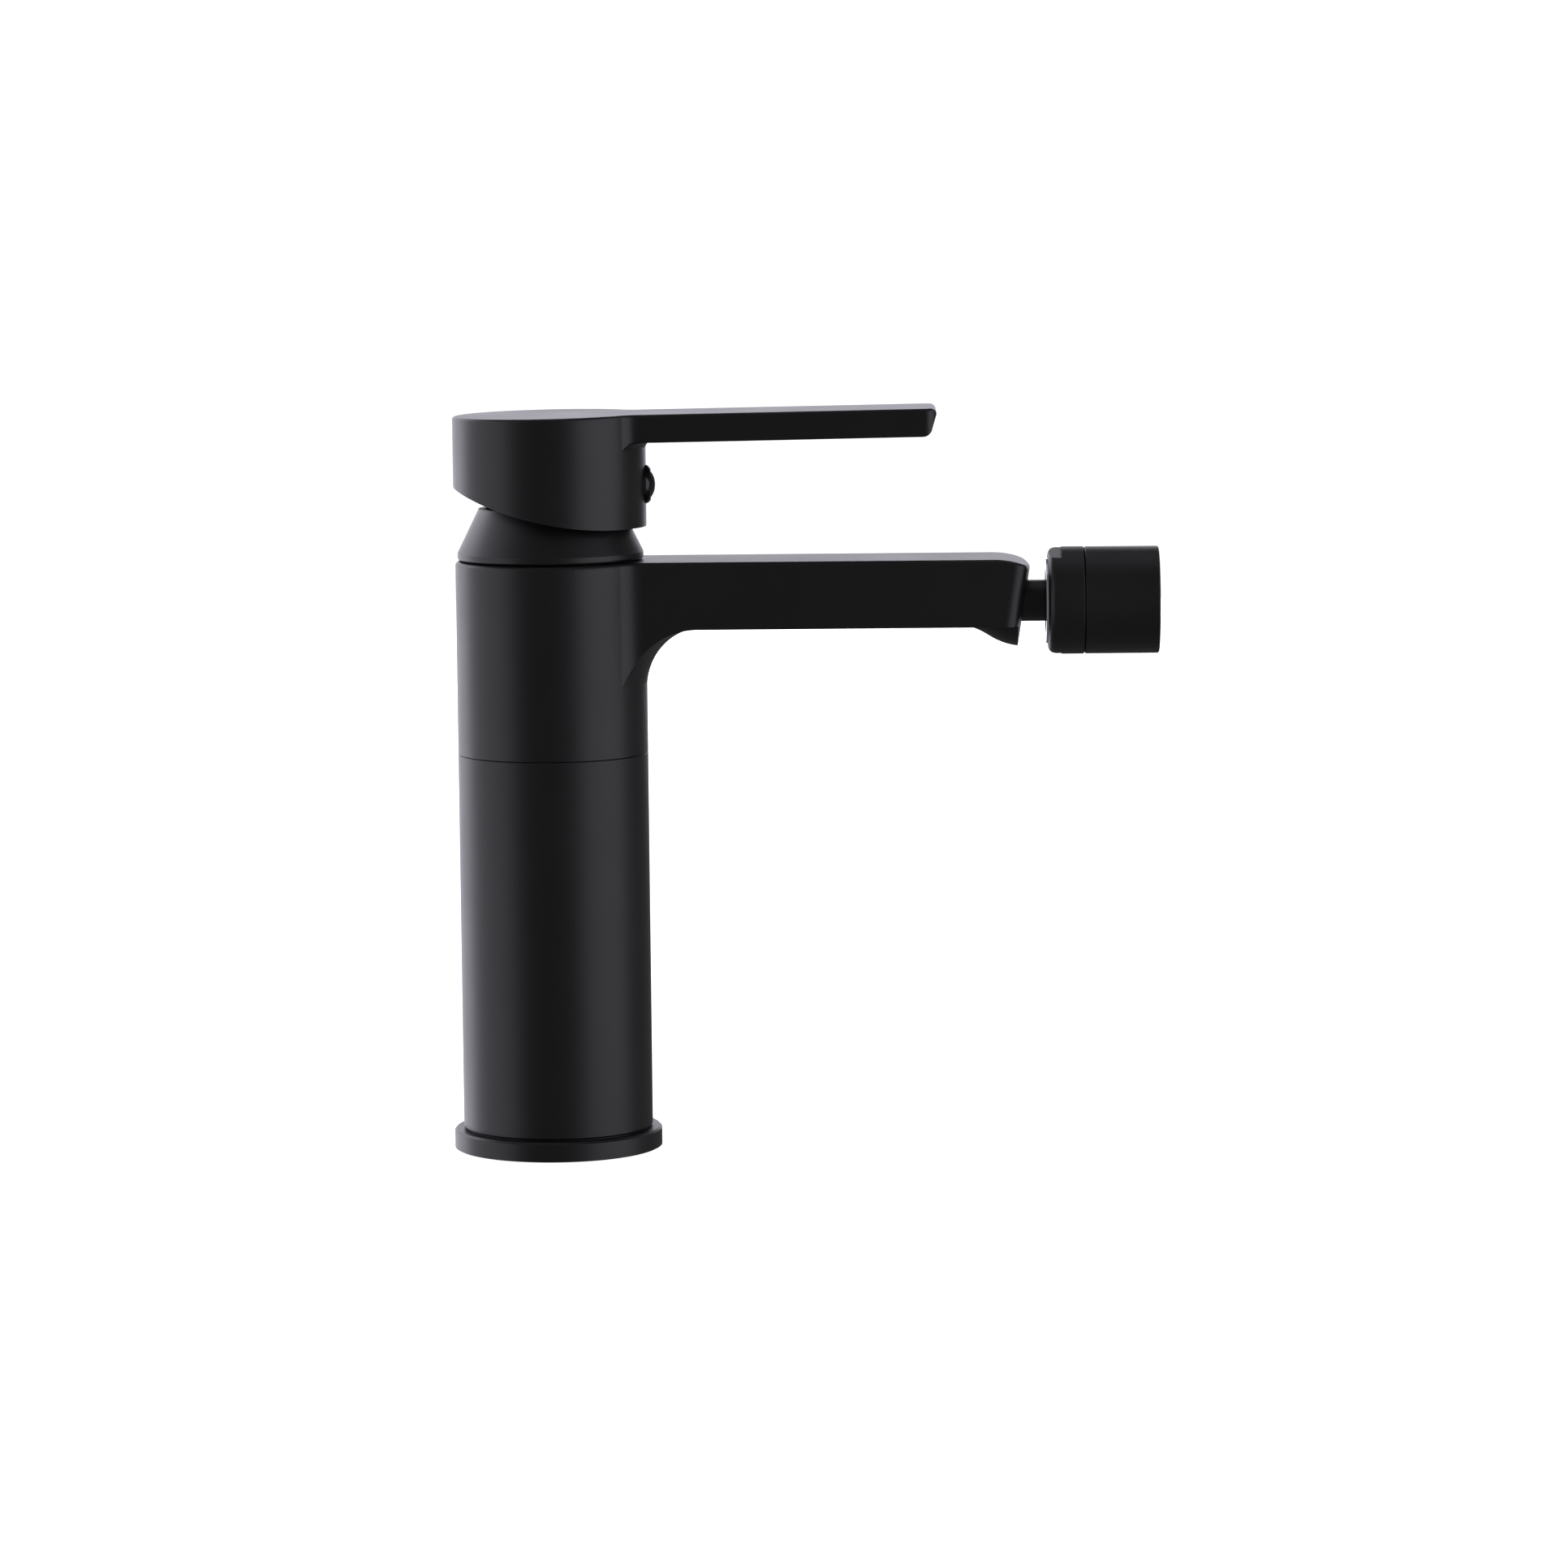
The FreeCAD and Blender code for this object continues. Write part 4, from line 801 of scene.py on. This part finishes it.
@dataclass
class Body(SubAssembly):
    """The cast body with its spout, and the threads cut into its underside.

    Args:
        thread_rise: metres that a crest stands into its hole.
        thread_sink: metres that it is sunk into the hole's wall.
        hose_pitch: metres from crest to crest in a hose's hole.
        stud_pitch: metres from crest to crest in the stud's hole.
        root_share: half the crest's width at its root, in pitches.
        top_share: half its width at its top, in pitches.
        steps_per_turn: faces round one turn.
        lead_in: the crest's height at its two ends, as a share of the whole.
    """

    thread_rise: float = 0.00045
    thread_sink: float = 0.00002
    hose_pitch: float = 0.001
    stud_pitch: float = 0.00125
    root_share: float = 0.42
    top_share: float = 0.07
    steps_per_turn: int = 40
    lead_in: float = 0.05

    title: ClassVar[str] = "body"
    nodes: ClassVar[tuple[str, ...]] = ("spout_body",)

    def build(self) -> list[bpy.types.Object]:
        """Cut a thread into each tapped hole that the record lists.

        Returns:
            The threads.
        """
        made = []
        for mount in frame["record"]["mounts"]:
            if mount["kind"] != "threaded_hole":
                continue
            pitch = self.stud_pitch if "stud" in mount["name"] else self.hose_pitch
            piece = self.thread(mount, pitch)
            made.append(self.finish_piece(piece, "faucet_body", "raw_brass"))
        return made

    def thread(self, mount: dict, pitch: float) -> bpy.types.Object:
        """Wind a thread's crest inside a hole.

        Args:
            mount: the record's threaded hole, whose axis points out of its mouth.
            pitch: the rise of one turn.

        Returns:
            The thread as a mesh.
        """
        radius = mount["dims"]["r_mm"] / 1000.0
        length = mount["dims"]["length_mm"] / 1000.0 - pitch
        mouth = Vector(mount["pos_m"])
        turns = length / pitch
        count = int(turns * self.steps_per_turn)
        line, frames = [], []
        for step in range(count + 1):
            angle = 2.0 * math.pi * step / self.steps_per_turn
            outward = Vector((math.cos(angle), math.sin(angle), 0.0))
            rise = pitch * (0.5 + step / self.steps_per_turn)
            taper = min(1.0, step / self.steps_per_turn, (count - step) / self.steps_per_turn)
            line.append(mouth + Vector((0.0, 0.0, rise)) + outward * radius)
            frames.append((outward * max(taper, self.lead_in), Vector((0.0, 0.0, 1.0))))
        root, top = pitch * self.root_share, pitch * self.top_share
        outline = [(self.thread_sink, -root), (self.thread_sink, root),
                   (-self.thread_rise, top), (-self.thread_rise, -top)]
        mesh = bmesh.new()
        ribbon(mesh, line, frames, outline)
        bmesh.ops.recalc_face_normals(mesh, faces=mesh.faces)
        return as_object(f"{mount['name']}_crest", mesh, smooth=False)


@dataclass
class Cartridge(SubAssembly):
    """The ceramic cartridge, from its base seals up to the stem."""

    title: ClassVar[str] = "cartridge"
    nodes: ClassVar[tuple[str, ...]] = (
        "cartridge_base", "port_seals", "disc_seals", "fixed_disc", "moving_disc",
        "disc_carrier", "cartridge_rotor", "pivot_pin", "cartridge_stem",
        "cartridge_housing",
    )


@dataclass
class Bonnet(SubAssembly):
    """The nut that clamps the cartridge, and the cone over it."""

    title: ClassVar[str] = "bonnet"
    nodes: ClassVar[tuple[str, ...]] = ("cartridge_nut", "bonnet_cone")


@dataclass
class Handle(SubAssembly):
    """The cap with its lever, and the screw behind the index button."""

    title: ClassVar[str] = "handle"
    nodes: ClassVar[tuple[str, ...]] = ("lever_handle", "handle_grub_screw")


@dataclass
class IndexButton(SubAssembly):
    """The button that shows the hot and cold sides, under a clear dome.

    Args:
        dome_rings: rings of faces from the dome's edge to its top.
        edge_round: metres that the dome's lower edge is eased.
        edge_share: the straight edge's share of the dome's height.
        inner_share: where the flat underside has its inner ring.
    """

    dome_rings: int = 18
    edge_round: float = 0.00012
    edge_share: float = 0.17
    inner_share: float = 0.6

    title: ClassVar[str] = "index button"
    nodes: ClassVar[tuple[str, ...]] = ("index_ring", "index_hot", "index_cold")

    def build(self) -> list[bpy.types.Object]:
        """Turn the clear dome that stands for the plain lens.

        Returns:
            The dome, alone in a list.
        """
        low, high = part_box("index_lens")
        radius = (high.z - low.z) / 2.0
        height = high.x - low.x
        edge = height * self.edge_share
        bulge = height - edge
        sweep = (radius * radius + bulge * bulge) / (2.0 * bulge)
        reach = math.asin(radius / sweep)
        section = [(0.0, 0.0), (radius * self.inner_share, 0.0),
                   (radius - self.edge_round, 0.0), (radius, self.edge_round), (radius, edge)]
        for ring in range(self.dome_rings - 1, -1, -1):
            angle = reach * ring / self.dome_rings
            station = height - sweep * (1.0 - math.cos(angle))
            section.append((sweep * math.sin(angle) if ring else 0.0, station))
        centre = Vector((low.x, (low.y + high.y) / 2.0, (low.z + high.z) / 2.0))
        dome = lathe("index_dome", section, Matrix.Translation(centre) @ AXIS_X)
        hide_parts("index_lens")
        return [self.finish_piece(dome, "lever", "clear_lens")]


@dataclass
class Outlet(SubAssembly):
    """The ball-jointed outlet with its aerator.

    Args:
        mesh_pitch: metres from wire to wire in the inlet screens.
        wire_radius: metres, of one wire.
        crimp: how far a wire swings over and under, in wire radii.
        samples_per_cell: points along a wire for each crossing.
        screen_inset: metres from the stack's face to a screen's middle.
        wire_inset: metres that the wires end inside the rim.
        rim_width: metres, of the pressed rim.
        rim_half: half the rim's thickness in metres.
    """

    mesh_pitch: float = 0.0006
    wire_radius: float = 0.00009
    crimp: float = 0.7
    samples_per_cell: int = 4
    screen_inset: float = 0.00015
    wire_inset: float = 0.0003
    rim_width: float = 0.0007
    rim_half: float = 0.00014

    title: ClassVar[str] = "outlet"
    nodes: ClassVar[tuple[str, ...]] = (
        "ball_stem", "rear_ball_ring", "front_ball_seat", "swivel_collar",
        "collar_trim_ring", "outlet_barrel", "seat_seal", "aerator_washer",
        "aerator_housing", "flow_regulator", "aerator_grid",
    )

    def build(self) -> list[bpy.types.Object]:
        """Weave the two inlet screens that stand for the plain discs.

        Returns:
            The screens, alone in a list.
        """
        low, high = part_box("aerator_screens")
        centre = (low + high) / 2.0
        radius = (high.z - low.z) / 2.0
        mesh = bmesh.new()
        for station in (low.x + self.screen_inset, high.x - self.screen_inset):
            middle = Vector((station, centre.y, centre.z))
            self.weave(mesh, middle, radius - self.wire_inset)
            self.rim(mesh, middle, radius)
        bmesh.ops.recalc_face_normals(mesh, faces=mesh.faces)
        screens = as_object("woven_screens", mesh)
        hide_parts("aerator_screens")
        return [self.finish_piece(screens, "outlet_head", "stainless")]

    def weave(self, mesh: bmesh.types.BMesh, centre: Vector, radius: float) -> None:
        """Weave one round screen of plain wire cloth.

        Args:
            mesh: the bmesh to add to.
            centre: the screen's centre.
            radius: where the wires end.
        """
        square = [(self.wire_radius, 0.0), (0.0, self.wire_radius),
                  (-self.wire_radius, 0.0), (0.0, -self.wire_radius)]
        wires = int(radius / self.mesh_pitch)
        for along, across in ((Vector((0, 1, 0)), Vector((0, 0, 1))),
                              (Vector((0, 0, 1)), Vector((0, 1, 0)))):
            swing = self.wire_radius * (1.0 if along.y else -1.0) * self.crimp
            for wire in range(-wires, wires + 1):
                offset = wire * self.mesh_pitch
                half = math.sqrt(max(radius * radius - offset * offset, 0.0))
                count = int(half / self.mesh_pitch * self.samples_per_cell)
                if count < 2:
                    continue
                line, frames = [], []
                for step in range(-count, count + 1):
                    run = step * self.mesh_pitch / self.samples_per_cell
                    wave = math.cos(math.pi * run / self.mesh_pitch + math.pi * wire)
                    lift = Vector((swing * wave, 0.0, 0.0))
                    line.append(centre + along * run + across * offset + lift)
                    frames.append((across, Vector((1.0, 0.0, 0.0))))
                ribbon(mesh, line, frames, square)

    def rim(self, mesh: bmesh.types.BMesh, centre: Vector, radius: float) -> None:
        """Press a flat rim round a screen.

        Args:
            mesh: the bmesh to add to.
            centre: the screen's centre.
            radius: the rim's outer radius.
        """
        half = self.rim_half
        inner = radius - self.rim_width
        section = [(inner, -half), (radius, -half), (radius, half), (inner, half)]
        rings = []
        for step in range(ROUND_STEPS):
            angle = 2.0 * math.pi * step / ROUND_STEPS
            outward = Vector((0.0, math.cos(angle), math.sin(angle)))
            rings.append([mesh.verts.new(centre + outward * r + Vector((x, 0.0, 0.0)))
                          for r, x in section])
        for step in range(ROUND_STEPS):
            low, high = rings[step], rings[(step + 1) % ROUND_STEPS]
            for side in range(4):
                after = (side + 1) % 4
                mesh.faces.new((low[side], low[after], high[after], high[side]))


# ---------------------------------------------------------------- studio
SOFT_LIGHT: Colour = (1.0, 0.975, 1.09)


@dataclass(frozen=True)
class SoftBox:
    """A large soft light that looks at the mixer.

    Args:
        name: the light's name.
        azimuth: degrees from the front, positive to the left.
        elevation: degrees above the middle of the mixer.
        distance: metres from the middle of the mixer.
        width: metres across.
        height: metres high.
        radiance: how bright its face is.
    """

    name: str
    azimuth: float
    elevation: float
    distance: float
    width: float
    height: float
    radiance: float

    def hang(self, middle: Vector) -> bpy.types.Object:
        """Make the light.

        Args:
            middle: the point that it looks at.

        Returns:
            The light's object.
        """
        data = bpy.data.lights.new(self.name, "AREA")
        data.shape = "RECTANGLE"
        data.size = self.width
        data.size_y = self.height
        data.energy = self.radiance * math.pi * self.width * self.height
        data.color = SOFT_LIGHT
        light = bpy.data.objects.new(self.name, data)
        turn, rise = math.radians(self.azimuth), math.radians(self.elevation)
        away = Vector((-math.sin(turn) * math.cos(rise), -math.cos(turn) * math.cos(rise),
                       math.sin(rise)))
        light.location = middle + away * self.distance
        light.rotation_euler = (-away).to_track_quat("-Z", "Y").to_euler()
        light.visible_camera = False
        bpy.context.scene.collection.objects.link(light)
        return light


@dataclass(frozen=True)
class Studio:
    """Pale floor, soft light and the camera.

    Args:
        camera_place: metres, of the lens.
        camera_yaw: radians that the camera looks to the right of +Y.
        camera_pitch: radians that it looks down.
        camera_roll: radians that it leans.
        lens: focal length in millimetres.
        ambient: strength of the light from all round.
        backdrop: strength of the white behind the mixer.
        floor_glow: the floor's own light.
        floor_half: half the floor's side in metres.
        floor_drop: metres that the floor lies under the foot.
        soft_boxes: the lights.
    """

    camera_place: Vector = Vector((0.08265, -1.528, 0.26696))
    camera_yaw: float = -0.016
    camera_pitch: float = 0.114
    camera_roll: float = -0.010
    lens: float = 139.75
    ambient: float = 0.14
    backdrop: float = 1.05
    floor_glow: float = 0.97
    floor_half: float = 4.0
    floor_drop: float = 0.0003
    soft_boxes: tuple[SoftBox, ...] = (
        SoftBox("left wall", 90.0, 5.0, 1.0, 1.8, 1.5, 0.9),
        SoftBox("left rear", 140.0, 8.0, 1.3, 1.2, 1.5, 1.7),
        SoftBox("right wall", 295.0, 6.0, 1.3, 1.6, 1.4, 1.05),
        SoftBox("rear wall", 184.0, 12.0, 1.6, 1.1, 1.0, 1.45),
        SoftBox("overhead", 180.0, 82.0, 1.4, 1.0, 1.0, 0.25),
    )

    def middle(self) -> Vector:
        """The middle of the mixer's box."""
        return (cad_box[0] + cad_box[1]) / 2.0

    def set_camera(self) -> None:
        """Place the camera and make it the scene's."""
        data = bpy.data.cameras.new("camera")
        data.lens = self.lens
        data.sensor_width = 36.0
        data.clip_start = 0.05
        data.clip_end = 50.0
        yaw, pitch, roll = self.camera_yaw, self.camera_pitch, self.camera_roll
        ahead = Vector((math.sin(yaw) * math.cos(pitch), math.cos(yaw) * math.cos(pitch),
                        -math.sin(pitch)))
        right = Vector((math.cos(yaw), -math.sin(yaw), 0.0))
        up = right.cross(ahead)
        right_rolled = right * math.cos(roll) + up * math.sin(roll)
        up_rolled = up * math.cos(roll) - right * math.sin(roll)
        turn = Matrix((right_rolled, up_rolled, -ahead)).transposed()
        camera = bpy.data.objects.new("camera", data)
        camera.matrix_world = Matrix.Translation(self.camera_place) @ turn.to_4x4()
        bpy.context.scene.collection.objects.link(camera)
        bpy.context.scene.camera = camera

    def set_world(self) -> None:
        """White behind the mixer, and only a little light from it."""
        world = bpy.data.worlds.new("studio")
        bpy.context.scene.world = world
        world.use_nodes = True
        board = Board(world.node_tree)
        path = board.add("LightPath")
        seen = board.add("Background", Color=(1.0, 1.0, 1.0, 1.0), Strength=self.backdrop)
        felt = board.add("Background", Color=(1.0, 0.99, 1.02, 1.0), Strength=self.ambient)
        mixed = board.add("MixShader")
        board.join(path.outputs["Is Camera Ray"], mixed.inputs[0])
        board.join(felt.outputs[0], mixed.inputs[1])
        board.join(seen.outputs[0], mixed.inputs[2])
        output = board.add("OutputWorld")
        board.join(mixed.outputs[0], output.inputs["Surface"])

    def lay_floor(self) -> None:
        """A wide pale floor that the mixer stands on."""
        mesh = bmesh.new()
        bmesh.ops.create_grid(mesh, x_segments=24, y_segments=24, size=self.floor_half)
        floor = as_object("studio_floor", mesh)
        floor.location = (0.0, 0.0, cad_box[0].z - self.floor_drop)
        floor.visible_glossy = False
        floor.visible_diffuse = False
        material, board, shader = principled("pale floor")
        place = board.add("TexCoord").outputs["Object"]
        cloud = board.add("TexNoise", Vector=place, Scale=2.0, Detail=2.0).outputs["Fac"]
        tint = board.blend(cloud, (0.88, 0.88, 0.88), (0.92, 0.92, 0.92))
        shader.inputs["Roughness"].default_value = 0.9
        shader.inputs["Specular IOR Level"].default_value = 0.1
        shader.inputs["Emission Color"].default_value = (1.0, 1.0, 1.0, 1.0)
        shader.inputs["Emission Strength"].default_value = self.floor_glow
        board.join(tint, shader.inputs["Base Color"])
        floor.data.materials.append(material)

    def set_up(self) -> None:
        """Camera, world, floor and lights."""
        self.set_camera()
        self.set_world()
        self.lay_floor()
        for soft_box in self.soft_boxes:
            soft_box.hang(self.middle())
            LOG.info("studio: %s hung", soft_box.name)
        bpy.context.scene.view_settings.view_transform = "Standard"


def main() -> None:
    """Build the sub-assemblies in order, then the studio."""
    logging.basicConfig(level=logging.INFO, format="%(message)s")
    paints = Paintbox(Effects())
    for kind in (Foot, Column, Body, Cartridge, Bonnet, Handle, IndexButton, Outlet):
        kind(paints).assemble()
    Studio().set_up()


if __name__ == "__main__":
    main()
